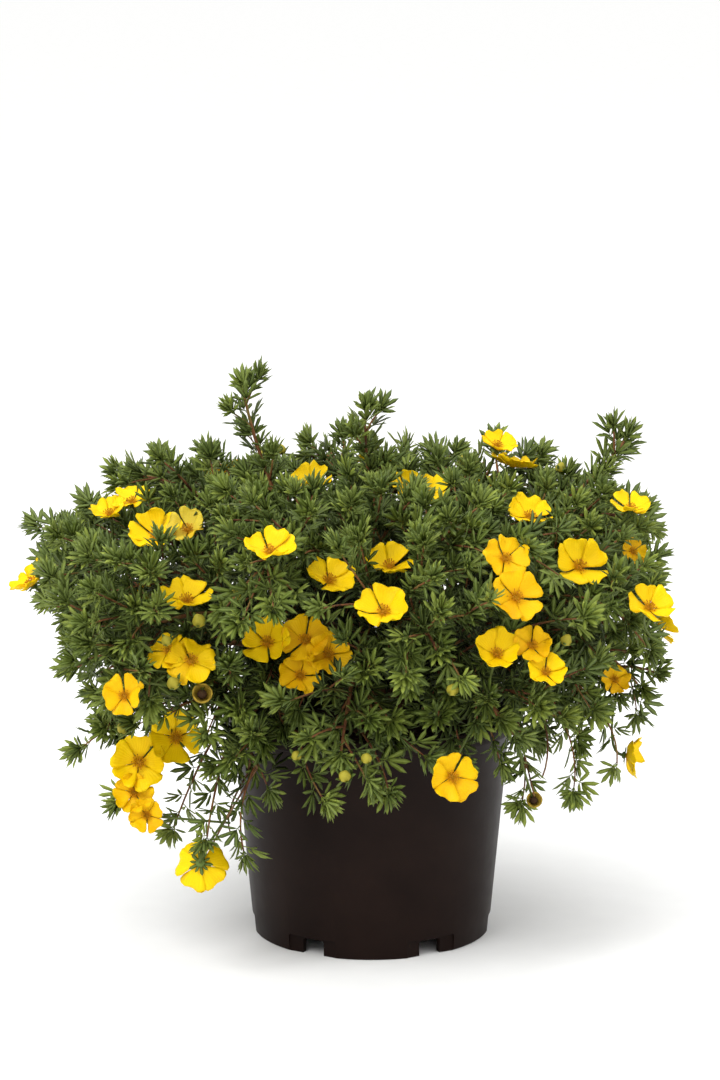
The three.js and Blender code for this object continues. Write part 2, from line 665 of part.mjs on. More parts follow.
// Raises every leaflet of a tuft that stays clear of its neighbours, bending it if needed
function growLeaflets(shell, tuft, occupied, owner) {
  const placed = new Set();
  const grown = tuft.root ? [tuft.hub, tuft.root] : [tuft.hub];
  for (const leaflet of tuft.leaflets) {
    const [a, b, keel] = leaflet.face.corners.map((corner) => shell.points[corner]);
    const outward = a.clone().add(b).multiplyScalar(0.5).sub(tuft.ringCentre).normalize();
    const { least, spread } = leaflet.upper ? CROWN_LEAFLET_LIFT : SIDE_LEAFLET_LIFT;
    const baseLift = least + spread * leaflet.lift;
    const sway = vec(0, 0, 0).crossVectors(tuft.axis, outward).normalize();
    for (const [bend, turn, share] of LEAF_BENDS) {
      const lift = radians(baseLift + bend);
      const flat = outward.clone().multiplyScalar(Math.cos(radians(turn)))
        .add(sway.clone().multiplyScalar(Math.sin(radians(turn))));
      const direction = flat.multiplyScalar(Math.cos(lift)).add(tuft.axis.clone().multiplyScalar(Math.sin(lift)));
      const reach = LEAFLET_SHORTEST + LEAFLET_LENGTH_SPREAD * leaflet.reach;
      const length = LEAFLET_LENGTH * leaflet.size * reach * share;
      const shape = leafletShape(a, b, keel, direction, length, LEAFLET_HALF_WIDTH * share);
      const solid = leafletSolid(shape);
      const ownCore = owner.replace(/hub.*$/, "core");
      const gapOf = (other) => (other === ownCore ? OWN_CORE_CLEARANCE : LEAF_CLEARANCE);
      if (grown.some((other) => solid.intersect(other).volume() > TOUCH_VOLUME)) continue;
      if (!occupied.clear(solid, LEAF_CLEARANCE, (other) => other === owner, gapOf)) continue;
      occupied.add(solid, owner);
      grown.push(solid);
      const corners = [...leaflet.face.corners, ...shape.slice(3).map((p) => shell.point(p))];
      LEAFLET_FACES.forEach((face) => shell.face(...face.map((i) => corners[i])));
      placed.add(leaflet.face);
      break;
    }
  }
  const bare = [...tuft.band, ...tuft.crown].filter((face) => !placed.has(face));
  bare.forEach(({ corners }) => shell.face(...corners));
}

// Below 1 inside the rounded outline of the mound, above 1 outside it
function moundShare(place) {
  const off = place.clone().sub(MOUND_CENTRE);
  const share = (axis) => Math.abs(off[axis] / MOUND_HALF_SIZE[axis]) ** MOUND_POWER;
  const parts = ["x", "y", "z"].map(share);
  return (parts[0] + parts[1] + parts[2]) ** (1 / MOUND_POWER);
}

function skirtEdge(place) {
  const bearing = (Math.atan2(place.y, place.x) * 180) / Math.PI;
  const after = Math.max(1, SKIRT_EDGE.findIndex(([edge]) => edge >= bearing));
  const [lowBearing, lowEdge] = SKIRT_EDGE[after - 1];
  const [highBearing, highEdge] = SKIRT_EDGE[after];
  return lowEdge + ((highEdge - lowEdge) * (bearing - lowBearing)) / (highBearing - lowBearing);
}

// True in the open space before the face of a bloom
function beforeBloom(place, blooms) {
  return blooms.some((bloom) => {
    const off = place.clone().sub(bloom.seat);
    const ahead = off.dot(bloom.facing);
    if (ahead < 0 || ahead > BLOOM_VIEW) return false;
    return off.sub(bloom.facing.clone().multiplyScalar(ahead)).length() < bloom.radius + BLOOM_MARGIN;
  });
}

// The direction of a shoot where it passes closest to a point
function alongNear(path, habit, point) {
  let best = habit.leafyFrom;
  for (let i = 0; i <= PATH_SAMPLES; i += 1) {
    const t = habit.leafyFrom + ((1 - habit.leafyFrom) * i) / PATH_SAMPLES;
    if (path.at(t).distanceTo(point) < path.at(best).distanceTo(point)) best = t;
  }
  return path.along(best).normalize();
}

// Places for one more tuft on a spray, those in the emptiest part of the mound first
function tuftPlaces(core, { path, habit, kind }, hubs, blooms) {
  const places = [];
  for (let index = 0; index < core.coreFaces; index += 1) {
    if (core.used.has(index)) continue;
    const { centre, normal } = faceFrame(core.shell, index);
    const axis = normal.add(alongNear(path, habit, centre).multiplyScalar(TWIG_LEAN[kind])).normalize();
    for (const length of TWIG_LENGTHS[kind]) {
      const hub = centre.clone().add(axis.clone().multiplyScalar(length + TUFT_RING_HEIGHT));
      const depth = moundShare(hub);
      const outside = depth > TUFT_DEPTH || hub.z < skirtEdge(hub) + LEAFLET_LENGTH / 2;
      if (kind === "arching" && outside) continue;
      if (beforeBloom(hub, blooms)) continue;
      const space = Math.min(TUFT_SPACING, ...hubs.map((other) => other.distanceTo(hub)));
      const outerness = TUFT_SPACING * Math.min(depth, TUFT_DEPTH) * OUTER_TUFTS_FIRST;
      places.push({ index, centre, axis, length, hub, score: space + outerness });
    }
  }
  return places.sort((one, two) => two.score - one.score).slice(0, PLACES_TRIED);
}

// A bloom: five layered petals round a raised tuft of stamens
function makeBloom({ place, bearing, tilt, radius }, random) {
  const shell = new Shell();
  const facing = polar(Math.cos(radians(tilt)), bearing, Math.sin(radians(tilt)));
  const across = vec(0, 0, 1).sub(facing.clone().multiplyScalar(facing.z)).normalize();
  if (across.lengthSq() < 0.5) across.set(1, 0, 0);
  const third = vec(0, 0, 0).crossVectors(facing, across).normalize();
  const spin = random() * TURN;
  const at = (middle, [share, degrees, height], sag = 0) => {
    const angle = spin + radians(middle + degrees);
    const arm = share * radius;
    return shell.point(vec(...place)
      .add(across.clone().multiplyScalar(arm * Math.cos(angle)))
      .add(third.clone().multiplyScalar(arm * Math.sin(angle)))
      .add(facing.clone().multiplyScalar(height + sag + PETAL_CUP * arm * share)));
  };
  const stamens = at(0, [0, 0, STAMENS_HEIGHT]);
  const back = at(0, [0, 0, -BLOOM_BACK]);
  const petals = Array.from({ length: PETAL_COUNT }, (unused, k) => {
    const middle = (k * 360) / PETAL_COUNT;
    const sag = (random() - 0.5) * PETAL_SAG;
    return {
      notch: at(middle, PETAL_NOTCH),
      front: at(middle, PETAL_FRONT, sag * PETAL_MIDDLE_SAG),
      rear: at(middle, PETAL_REAR, sag * PETAL_MIDDLE_SAG),
      rim: PETAL_RIM.map((point) => at(middle, point, sag)),
    };
  });
  petals.forEach((petal, k) => {
    const next = petals[(k + 1) % PETAL_COUNT];
    const edge = [petal.notch, ...petal.rim, next.notch];
    const frontLoop = [stamens, ...edge];
    const rearLoop = [back, ...edge];
    frontLoop.forEach((corner, i) => shell.face(petal.front, corner, frontLoop[(i + 1) % frontLoop.length]));
    rearLoop.forEach((corner, i) => shell.face(petal.rear, rearLoop[(i + 1) % rearLoop.length], corner));
  });
  const seat = vec(...place).sub(facing.clone().multiplyScalar(BLOOM_BACK + SEAT_GAP));
  return { solid: shell.solid(), facing, seat };
}

// The next ring of a flower stalk, its corners carried on from the ring before
function nextRing(shell, ring, ringCentre, place, direction) {
  return ring.map((corner) => {
    const arm = shell.points[corner].clone().sub(ringCentre);
    arm.sub(direction.clone().multiplyScalar(arm.dot(direction))).normalize();
    return shell.point(place.clone().add(arm.multiplyScalar(FLOWER_STALK_RADIUS)));
  });
}

// A flower stalk from one face of a core, round an elbow, to the back of its bloom
function planFlowerStalk(shell, index, bloom) {
  const { centre, normal } = faceFrame(shell, index);
  const corners = shell.faces[index];
  const elbow = bloom.seat.clone().sub(bloom.facing.clone().multiplyScalar(FLOWER_STALK_ELBOW));
  const first = elbow.clone().sub(centre).normalize();
  if (first.dot(normal) < FLOWER_STALK_LEAST_RISE) return null;
  const turn = first.clone().add(bloom.facing).normalize();
  const foot = centre.clone().add(first.clone().multiplyScalar(STALK_LIFT));
  const root = stalkRing(shell, corners, foot, first, FLOWER_STALK_RADIUS);
  const bendRing = nextRing(shell, root, foot, elbow, turn);
  const endRing = nextRing(shell, bendRing, elbow, bloom.seat, bloom.facing);
  const skirt = shell.bridge(corners, root);
  const sides = [...shell.bridge(root, bendRing), ...shell.bridge(bendRing, endRing)];
  const above = [...sides.map((made) => made.corners), endRing];
  const closed = [...above, [root[0], root[2], root[1]]];
  return {
    solid: compactSolid({ points: shell.points, faces: closed }),
    faces: [...skirt.map((made) => made.corners), ...above],
  };
}

// The nearest free face from which a stalk reaches the bloom clear of everything else
function growFlowerStalk(cores, bloom, occupied) {
  const options = cores.flatMap((core, owner) => {
    const free = Array.from({ length: core.coreFaces }, (unused, i) => i).filter((i) => !core.used.has(i));
    return free.map((index) => (
      { core, owner, index, distance: faceFrame(core.shell, index).centre.distanceTo(bloom.seat) }));
  });
  options.sort((one, two) => one.distance - two.distance);
  for (const { core, owner, index } of options.slice(0, STALKS_TRIED)) {
    const kept = core.shell.points.length;
    const plan = planFlowerStalk(core.shell, index, bloom);
    const ownCore = `spray ${owner} core`;
    if (plan && plan.solid.volume() > 0
      && occupied.clear(plan.solid, FLOWER_STALK_CLEARANCE, (other) => other === ownCore)
      && plan.solid.intersect(core.body).volume() < TOUCH_VOLUME) {
      core.used.add(index);
      core.grafts.push({ index, faces: plan.faces });
      occupied.add(plan.solid, `spray ${owner} flower stalk`);
      return;
    }
    core.shell.points.length = kept;
  }
}

// A twig from one face of a core to the foot of its tuft
function planTwig(shell, { index, centre, axis, length }) {
  const corners = shell.faces[index];
  const at = (reach) => centre.clone().add(axis.clone().multiplyScalar(reach));
  const root = stalkRing(shell, corners, at(STALK_LIFT), axis, STALK_RADIUS);
  const low = stalkRing(shell, corners, at(STALK_LIFT + length), axis, STALK_RADIUS);
  const skirt = shell.bridge(corners, root).map((made) => made.corners);
  const sides = shell.bridge(root, low).map((made) => made.corners);
  const [a, b, c] = corners;
  return {
    index,
    low,
    foot: at(length),
    stem: compactSolid({ points: shell.points, faces: [...sides, low, [root[2], root[1], root[0]]] }),
    root: compactSolid({ points: shell.points, faces: [...skirt, [c, b, a], root] }),
    faces: [...skirt, ...sides],
  };
}

// A tuft joins its spray where it and its twig stay clear of everything else
function addTuft(plant, owner, low, centre, axis, twig) {
  const core = plant.cores[owner];
  const { occupied } = plant;
  const tuft = planTuftOn(core.shell, low, centre, axis, plant.random);
  const name = `spray ${owner} hub ${core.tufts.length}`;
  const isClear = (solid) => occupied.clear(solid, LEAF_CLEARANCE, (other) => other === `spray ${owner} core`)
    && solid.intersect(core.body).volume() <= TOUCH_VOLUME;
  if (!isClear(tuft.hub) || (twig && !isClear(twig.stem))) return false;
  occupied.add(tuft.hub, name);
  if (twig) {
    occupied.add(twig.stem, name);
    tuft.root = twig.root;
    core.used.add(twig.index);
    core.grafts.push({ index: twig.index, faces: twig.faces });
  }
  core.tufts.push(tuft);
  return true;
}

// One tuft on the end of every spray, then more by turns in the emptiest places
function addTufts(plant) {
  const hubs = [];
  plant.cores.forEach(({ shell, stalk, tip }, owner) => {
    if (addTuft(plant, owner, stalk, tip.centre, tip.along, null)) hubs.push(tip.centre);
    else shell.capEnd(stalk);
  });
  for (let turn = 0; turn < TUFTS_PER_SPRAY; turn += 1) {
    plant.cores.forEach((core, owner) => {
      for (const place of tuftPlaces(core, plant.shoots[owner], hubs, plant.blooms)) {
        const twig = planTwig(core.shell, place);
        if (!addTuft(plant, owner, twig.low, twig.foot, place.axis, twig)) continue;
        hubs.push(place.hub);
        break;
      }
    });
  }
}

// The whole closed skin of one spray: its core with every stalk, twig, tuft and leaflet
function finishSpray(plant, owner) {
  const core = plant.cores[owner];
  core.tufts.forEach((tuft, i) => growLeaflets(core.shell, tuft, plant.occupied, `spray ${owner} hub ${i}`));
  const grafted = new Map(core.grafts.map((graft) => [graft.index, graft.faces]));
  const faces = core.shell.faces.flatMap((face, index) => grafted.get(index) || [face]);
  return compactSolid({ points: core.shell.points, faces });
}

function twoDigits(number) {
  return String(number).padStart(2, "0");
}

// Crown, branches, spray cores, blooms and stalks first, and then the leaf tufts among them
function growPlant(solids) {
  const random = makeRandom(SEED);
  const occupied = new Occupied();
  const shoots = [
    ...ARCHING_SPRAYS.map((spray) => (
      { path: archingPath(spray), habit: HABITS[spray.habit], kind: "arching" })),
    ...TALL_SPRAYS.map((spray) => ({ path: tallPath(spray), habit: TALL_HABIT, kind: "tall" })),
  ];
  const branches = shoots.map(({ path, habit }) => makeBranch(path, habit.leafyFrom));
  solids.woody_stems = join([makeCrown(), ...branches]);
  Object.entries(solids).forEach(([name, solid]) => occupied.add(solid, name));
  const cores = shoots.map(({ path, habit, kind }) => makeSprayCore(path, habit, kind));
  cores.forEach((core, i) => occupied.add(core.body, `spray ${i} core`));
  const blooms = BLOOMS.map((bloom) => ({ ...bloom, ...makeBloom(bloom, random) }));
  blooms.forEach((bloom) => occupied.add(bloom.solid, `bloom ${bloom.group}`));
  blooms.forEach((bloom) => growFlowerStalk(cores, bloom, occupied));
  const plant = { shoots, cores, blooms, occupied, random };
  addTufts(plant);
  cores.forEach((core, i) => {
    solids[`spray_${twoDigits(i + 1)}`] = finishSpray(plant, i);
  });
  const groups = [...new Set(blooms.map(({ group }) => group))];
  groups.forEach((group, i) => {
    const members = blooms.filter((bloom) => bloom.group === group);
    solids[`bloom_${twoDigits(i + 1)}`] = join(members.map(({ solid }) => solid));
  });
}

// The shift that stands the whole plant with the middle of its bounding box over the origin
function shiftToMiddle(solids) {
  const boxes = Object.values(solids).map((solid) => solid.boundingBox());
  const [lowX, lowY, lowZ] = [0, 1, 2].map((axis) => Math.min(...boxes.map(({ min }) => min[axis])));
  const [highX, highY] = [0, 1].map((axis) => Math.max(...boxes.map(({ max }) => max[axis])));
  return [-(lowX + highX) / 2, -(lowY + highY) / 2, -lowZ];
}

// The colour of a node, by the first word of its name
function colourOf(name) {
  const kind = name.split("_")[0];
  return COLOURS[{ spray: "leaf", woody: "wood" }[kind] || kind];
}

function makeGroup() {
  const group = new THREE.Group();
  const solids = { pot: makePot(), soil: makeSoil() };
  growPlant(solids);
  const shift = shiftToMiddle(solids);
  for (const [name, solid] of Object.entries(solids)) {
    const material = new THREE.MeshStandardMaterial({ color: colourOf(name), roughness: 0.7 });
    const mesh = new THREE.Mesh(geometryFrom(solid.translate(shift)), material);
    mesh.name = name;
    group.add(mesh);
  }
  return group;
}

export default makeGroup();
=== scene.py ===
"""The looks of a potted shrubby cinquefoil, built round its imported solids."""

import itertools
import math
import random

import bmesh
import bpy
import numpy as np
from mathutils import Matrix, Vector, noise
from mathutils.kdtree import KDTree


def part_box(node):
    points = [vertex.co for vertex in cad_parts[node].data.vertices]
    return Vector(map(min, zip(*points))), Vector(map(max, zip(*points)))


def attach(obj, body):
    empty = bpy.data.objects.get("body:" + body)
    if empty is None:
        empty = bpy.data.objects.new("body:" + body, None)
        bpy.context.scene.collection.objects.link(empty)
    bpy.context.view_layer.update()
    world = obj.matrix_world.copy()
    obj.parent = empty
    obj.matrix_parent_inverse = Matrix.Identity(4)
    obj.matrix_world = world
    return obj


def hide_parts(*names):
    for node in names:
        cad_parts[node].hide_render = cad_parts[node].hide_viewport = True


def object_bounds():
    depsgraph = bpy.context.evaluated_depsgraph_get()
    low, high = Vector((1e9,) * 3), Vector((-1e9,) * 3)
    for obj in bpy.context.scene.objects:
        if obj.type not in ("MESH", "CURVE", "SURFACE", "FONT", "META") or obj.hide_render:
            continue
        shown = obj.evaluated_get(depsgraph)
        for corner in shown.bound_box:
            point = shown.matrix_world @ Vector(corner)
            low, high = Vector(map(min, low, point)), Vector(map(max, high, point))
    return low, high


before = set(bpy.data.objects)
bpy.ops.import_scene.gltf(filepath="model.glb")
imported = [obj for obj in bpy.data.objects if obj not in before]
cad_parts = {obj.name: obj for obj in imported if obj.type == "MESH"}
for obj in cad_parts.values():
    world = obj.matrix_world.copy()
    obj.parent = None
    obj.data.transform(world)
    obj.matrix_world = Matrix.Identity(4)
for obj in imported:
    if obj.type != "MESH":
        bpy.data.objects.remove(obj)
solid_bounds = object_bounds()

# Lengths are in millimetres from the middle of the pot's foot, and turn to metres at the end
MM = 0.001

# The pot
POT_HEIGHT = 146.0
POT_FOOT_RADIUS = 76.0
POT_NECK_RADIUS = 88.0
POT_RIM_RADIUS = 95.0
POT_WALL = 2.2
POT_FLOOR_UNDERSIDE = 10.0
POT_FLOOR_TOP = 13.0
POT_SKIRT_WIDTH = 6.5
POT_SIDES = 128
RECESS_COUNT = 6
FIRST_RECESS_BEARING = -60.0
RECESS_SIZE = (34.0, 11.5, 3.0)
OPENING_SIZE = (15.0, 9.5)

# The soil and the crown
SOIL_EDGE_HEIGHT = 124.0
SOIL_CENTRE_HEIGHT = 129.0
SOIL_SEAT_GAP = 0.3
CROWN_RADIUS = 13.0
CROWN_TOP = 143.0

# The mound of foliage: flare is how much wider it is at its top than halfway up
MOUND_CENTRE = Vector((-14.0, 4.0, 190.0))
MOUND_HALF_SIZE = Vector((178.0, 174.0, 100.0))
MOUND_POWER = 3.0
MOUND_UNEVENNESS = 0.11
MOUND_BUMPS = 3.4
MOUND_FLARE = 0.3

# How low the foliage hangs, by bearing
SKIRT_EDGE = [(-180, 132), (-150, 116), (-130, 88), (-112, 104), (-90, 92), (-62, 112), (-35, 132),
              (0, 130), (60, 122), (120, 118), (180, 132)]

# Leaves: five narrow leaflets, or three deep inside; each leaflet has its turn, size and lift
LEAFLET_LENGTH = 15.0
LEAFLET_HALF_WIDTH = 1.65
LEAFLET_FANS = [(0, 1.0, 12), (31, 0.94, 9), (-31, 0.94, 9), (66, 0.76, 3), (-66, 0.76, 3)]
INNER_FANS = [(0, 1.15, 6), (48, 1.05, 4), (-48, 1.05, 4)]
LEAF_STALK = 4.6
SIDE_LEAFLET_TURN = 60
SIDE_LEAFLET_SETBACK = 1.4
SPIRAL_STEP = 137.5

# Stems: radii at the root and at the end, and the share of a main stem that is leafy
TWIG_RADIUS = 0.75
STEM_RADII = (3.1, 0.9)
LEAFY_RADII = (1.9, 0.8)
LEAFY_TO = {"skirt": 0.87, "side": 0.9, "shoulder": 0.96, "tall": 0.93}

# Blooms: open ones between two tilts are turned up by a few degrees more
PETAL_COUNT = 5
STAMEN_COUNT = 22
UPTURN = 13
UPTURN_FROM = 20
UPTURN_TO = 62
BLOOM_SEED = 20240611

# How each kind of spray arches: share of its reach and height at its two bends
HABITS = {
    "skirt": {"crown": 130, "rise": (0.34, 222), "bend": (0.8, 212), "leafy_from": 0.46},
    "side": {"crown": 134, "rise": (0.22, 205), "bend": (0.66, 262), "leafy_from": 0.43},
    "shoulder": {"crown": 140, "rise": (0.16, 215), "bend": (0.52, 284), "leafy_from": 0.33},
}

# Arching sprays: kind, bearing in degrees (-90 is the front), reach, tip height and sway
ARCHING_SPRAYS = [
    ("skirt", -163, 190, 126, 6), ("skirt", -128, 142, 92, -4), ("skirt", -98, 158, 122, 5),
    ("skirt", -60, 170, 152, -5), ("skirt", -6, 186, 138, 5), ("skirt", 45, 182, 124, -6),
    ("skirt", 98, 178, 118, 6), ("skirt", 149, 186, 126, -5), ("side", 178, 214, 232, 5),
    ("side", 124, 205, 222, -6), ("side", 72, 200, 218, 6), ("side", 22, 196, 226, -5),
    ("side", -29, 198, 210, 6), ("side", -76, 186, 206, -6), ("side", -142, 216, 196, 5),
    ("shoulder", 161, 168, 286, -5), ("shoulder", 103, 124, 290, 5), ("shoulder", 46, 156, 286, -6),
    ("shoulder", -7, 168, 272, 5), ("shoulder", -60, 128, 280, -5), ("shoulder", -118, 136, 276, 6),
]

# Tall sprays: bearing at the crown, two bends and the tip
TALL_SPRAYS = [
    (150, (-30, 12, 215), (-76, 18, 292), (-83, 20, 360)),
    (60, (12, 18, 215), (-6, 20, 280), (-4, 18, 345)),
    (5, (52, 16, 250), (136, 22, 262), (168, 20, 326)),
]
TALL_CROWN = 138
TALL_LEAFY_FROM = 0.4

# How far from the pot's axis the sprays start, in shares of the crown
ARCHING_START = 0.55
TALL_START = 0.4

# Blooms whose petals touch are one group: place, facing bearing, tilt up, radius and state
BLOOM_GROUPS = [
    [((-213, -24, 230), 200, 35, 14, "open")],
    [((-165, -6, 271), -132, 60, 12, "open"), ((-151, -2, 278), -126, 62, 12, "open")],
    [((-134, -34, 262), -106, 44, 16.7, "open"), ((-114, -36, 267), -106, 44, 12.6, "wilted")],
    [((-111, -124, 241), -96, 52, 14.6, "open")],
    [((-60, -163, 279), -86, 48, 14.4, "open")],
    [((-40, 52, 278), -140, 70, 14.4, "open")],
    [((-26, -118, 252), -72, 44, 15, "open")],
    [((11, -92, 255), -102, 58, 15.2, "open")],
    [((7, -156, 241), -95, 38, 16, "open")],
    [((34, 32, 276), -95, 50, 15.6, "open"), ((21, 38, 280), -95, 52, 11, "open")],
    [((98, -42, 276), -79, 58, 14.2, "open")],
    [((81, 60, 303), -58, 66, 11.4, "open")],
    [((79, -148, 272), -78, 34, 13.4, "old"), ((85, -160, 251), -78, 32, 15, "old")],
    [((126, -92, 255), -72, 36, 15.8, "open")],
    [((167, -116, 235), -60, 36, 14, "open")],
    [((160, -50, 283), -67, 50, 11.8, "open")],
    [((162, -44, 255), -67, 27, 8.6, "old")],
    [((-63, -116, 213), -94, 28, 15, "open"), ((-40, -116, 215), -92, 26, 14.4, "old"),
     ((-26, -120, 207), -88, 24, 13.8, "old"), ((-43, -124, 195), -92, 25, 12.4, "old")],
    [((-122, -136, 213), -92, 48, 12.6, "reflexed"), ((-108, -142, 208), -88, 48, 15.2, "reflexed")],
    [((-147, -154, 190), -100, 20, 12.2, "old")],
    [((-120, -88, 147), -94, 18, 16.4, "open"), ((-143, -90, 132), -97, 18, 16.8, "open"),
     ((-146, -95, 114), -97, 18, 11.6, "old"), ((-138, -100, 101), -97, 18, 10.8, "old")],
    [((-104, -126, 78), 84, -28, 16.4, "open")],
    [((74, -158, 216), -80, 30, 14.4, "open"), ((95, -151, 220), -78, 30, 11.6, "old"),
     ((103, -158, 205), -76, 30, 11.4, "open")],
    [((48, -160, 142), -78, 8, 14.6, "old")],
    [((161, -36, 122), -8, -6, 13.4, "open")],
    [((151, -52, 175), -66, 22, 9, "old")],
    [((91, 53, 291), 40, 60, 14.4, "open")],
    [((69, 156, 256), 70, 42, 15, "open"), ((48, 160, 259), 80, 44, 13.4, "open")],
    [((4, 118, 279), 86, 58, 14.6, "open")],
    [((-91, 158, 262), 118, 42, 15.2, "open"), ((-109, 148, 263), 122, 44, 12.8, "open")],
    [((-17, 162, 199), 92, 22, 14.6, "old")],
    [((-146, 84, 201), 150, 30, 14.2, "open")],
    [((187, 68, 182), 22, 20, 14, "open")],
]

# Buds and spent calyxes: place and radius
BUDS = [
    ((-81, -138, 248), 3.6), ((-103, -138, 232), 4.2), ((-118, -152, 197), 4.0), ((-122, -148, 222), 3.2),
    ((-151, -116, 160), 3.6), ((-16, -156, 141), 3.8), ((-3, -156, 152), 3.4), ((48, -168, 197), 3.8),
    ((116, -146, 222), 3.6), ((-45, -146, 151), 3.2), ((-70, 60, 296), 3.4), ((60, 110, 284), 3.6),
    ((-120, 120, 240), 3.8), ((150, 90, 226), 3.6), ((10, 176, 220), 3.6), ((120, 20, 296), 3.2),
    ((-190, 40, 240), 3.4), ((-60, 130, 288), 3.4),
]
SPENT_CUPS = [((-101, -148, 190), 6.2), ((99, -122, 117), 5.0), ((30, 150, 214), 5.2)]

# Thin bare twigs that hang below the mound: start, middle and end
HANGING_TWIGS = [
    ((86, -88, 176), (92, -104, 146), (99, -121, 119)),
    ((104, -84, 168), (112, -98, 142), (104, -112, 128)),
    ((-70, -104, 132), (-84, -112, 112), (-98, -118, 86)),
    ((-76, -104, 128), (-92, -106, 104), (-86, -112, 92)),
]

# Leafy ends that droop beside the pot: start, middle and end
LEAFY_DROOPS = [
    ((-112, -56, 158), (-136, -62, 130), (-156, -66, 102)),
    ((-96, -72, 146), (-112, -76, 118), (-122, -84, 90)),
    ((-90, -92, 140), (-98, -112, 112), (-100, -124, 94)),
    ((-72, -104, 132), (-84, -114, 108), (-78, -120, 84)),
    ((-128, -50, 160), (-160, -54, 150), (-180, -60, 134)),
    ((84, -88, 172), (98, -106, 144), (92, -118, 116)),
    ((112, -76, 168), (128, -92, 142), (124, -104, 120)),
    ((130, -60, 172), (154, -70, 150), (152, -78, 128)),
    ((-44, -112, 156), (-42, -128, 140), (-30, -134, 122)),
    ((-8, -114, 160), (6, -130, 146), (10, -136, 128)),
]

pot_low, pot_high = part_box("pot")
POT_AXIS = Vector(((pot_low[0] + pot_high[0]) / 2, (pot_low[1] + pot_high[1]) / 2, 0.0))
TO_FRAME = Matrix.Translation(POT_AXIS) @ Matrix.Scale(MM, 4)
UP = Vector((0.0, 0.0, 1.0))
rng = random.Random(BLOOM_SEED)

SLOPE_STEP = 0.01
# Below this the rest of a hint is too short to give a side
PARALLEL = 0.05
STEM_MERGE_GAP = 0.005


# Small helpers

def linear(value):
    """An sRGB value from 0 to 1 turned linear."""
    return value / 12.92 if value <= 0.04045 else ((value + 0.055) / 1.055) ** 2.4


def colour(hex_code):
    """A linear colour from an sRGB hex code."""
    return (*[linear(int(hex_code[i : i + 2], 16) / 255) for i in (1, 3, 5)], 1.0)


def polar(radius, bearing, height):
    angle = math.radians(bearing)
    return Vector((radius * math.cos(angle), radius * math.sin(angle), height))


def bezier(guides, t):
    """A point on a cubic curve through four guide points."""
    u = 1 - t
    a, b, c, d = guides
    return a * u**3 + b * (3 * u * u * t) + c * (3 * u * t * t) + d * t**3


def slope(guides, t):
    """The way a curve runs at a point, from points a little before and after it."""
    before = bezier(guides, max(0.0, t - SLOPE_STEP))
    after = bezier(guides, min(1.0, t + SLOPE_STEP))
    return (after - before).normalized()


def square_to(direction, hint):
    """The unit vector square to a direction that is nearest to the hint."""
    side = hint - direction * hint.dot(direction)
    if side.length < PARALLEL:
        side = Vector((1.0, 0.0, 0.0)) - direction * direction.x
    return side.normalized()


def placed(origin, along, normal, size=1.0):
    """The matrix that sets a template at a place, its +X along a direction, +Z near the normal."""
    along = along.normalized()
    normal = square_to(along, normal)
    turn = Matrix((along, normal.cross(along), normal)).transposed().to_4x4()
    return Matrix.Translation(origin) @ turn @ Matrix.Scale(size, 4)


def spray_shoots():
    """The guide points of every spray, in the order of its solids."""
    shoots = []
    for kind, bearing, reach, height, sway in ARCHING_SPRAYS:
        habit = HABITS[kind]
        guides = [
            polar(CROWN_RADIUS * ARCHING_START, bearing, habit["crown"]),
            polar(reach * habit["rise"][0], bearing + sway, habit["rise"][1]),
            polar(reach * habit["bend"][0], bearing + sway / 2, habit["bend"][1]),
            polar(reach, bearing, height),
        ]
        shoots.append((guides, habit["leafy_from"], kind))
    for bearing, low, high, tip in TALL_SPRAYS:
        root = polar(CROWN_RADIUS * TALL_START, bearing, TALL_CROWN)
        guides = [root, Vector(low), Vector(high), Vector(tip)]
        shoots.append((guides, TALL_LEAFY_FROM, "tall"))
    return shoots


SHOOTS = spray_shoots()


# Making finished pieces

def new_shape():
    """An empty shape with a UV map and a tint for each of its points."""
    bm = bmesh.new()
    bm.loops.layers.uv.new("UVMap")
    bm.verts.layers.float.new("tint")
    return bm


def mesh_of(bm, name):
    """The shape as a mesh; the shape itself is freed."""
    mesh = bpy.data.meshes.new(name)
    bm.to_mesh(mesh)
    bm.free()
    return mesh


def join_shape(bm, other, matrix=None):
    """Adds one shape to another, and frees the one added."""
    mesh = mesh_of(other, "joined")
    if matrix:
        mesh.transform(matrix)
    bm.from_mesh(mesh)
    bpy.data.meshes.remove(mesh)


def link_piece(name, mesh, material):
    mesh.materials.append(material)
    piece = bpy.data.objects.new(name, mesh)
    bpy.context.scene.collection.objects.link(piece)
    return piece


def finish_piece(name, bm, material, replaces=(), crease=None):
    """Turns a shape in millimetres into a finished piece in metres that rides on the object."""
    bmesh.ops.transform(bm, matrix=TO_FRAME, verts=bm.verts)
    mesh = mesh_of(bm, name)
    mesh.polygons.foreach_set("use_smooth", [True] * len(mesh.polygons))
    if crease is not None:
        mesh.set_sharp_from_angle(angle=math.radians(crease))
    piece = link_piece(name, mesh, material)
    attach(piece, "root")
    if replaces:
        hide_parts(*replaces)
    return piece


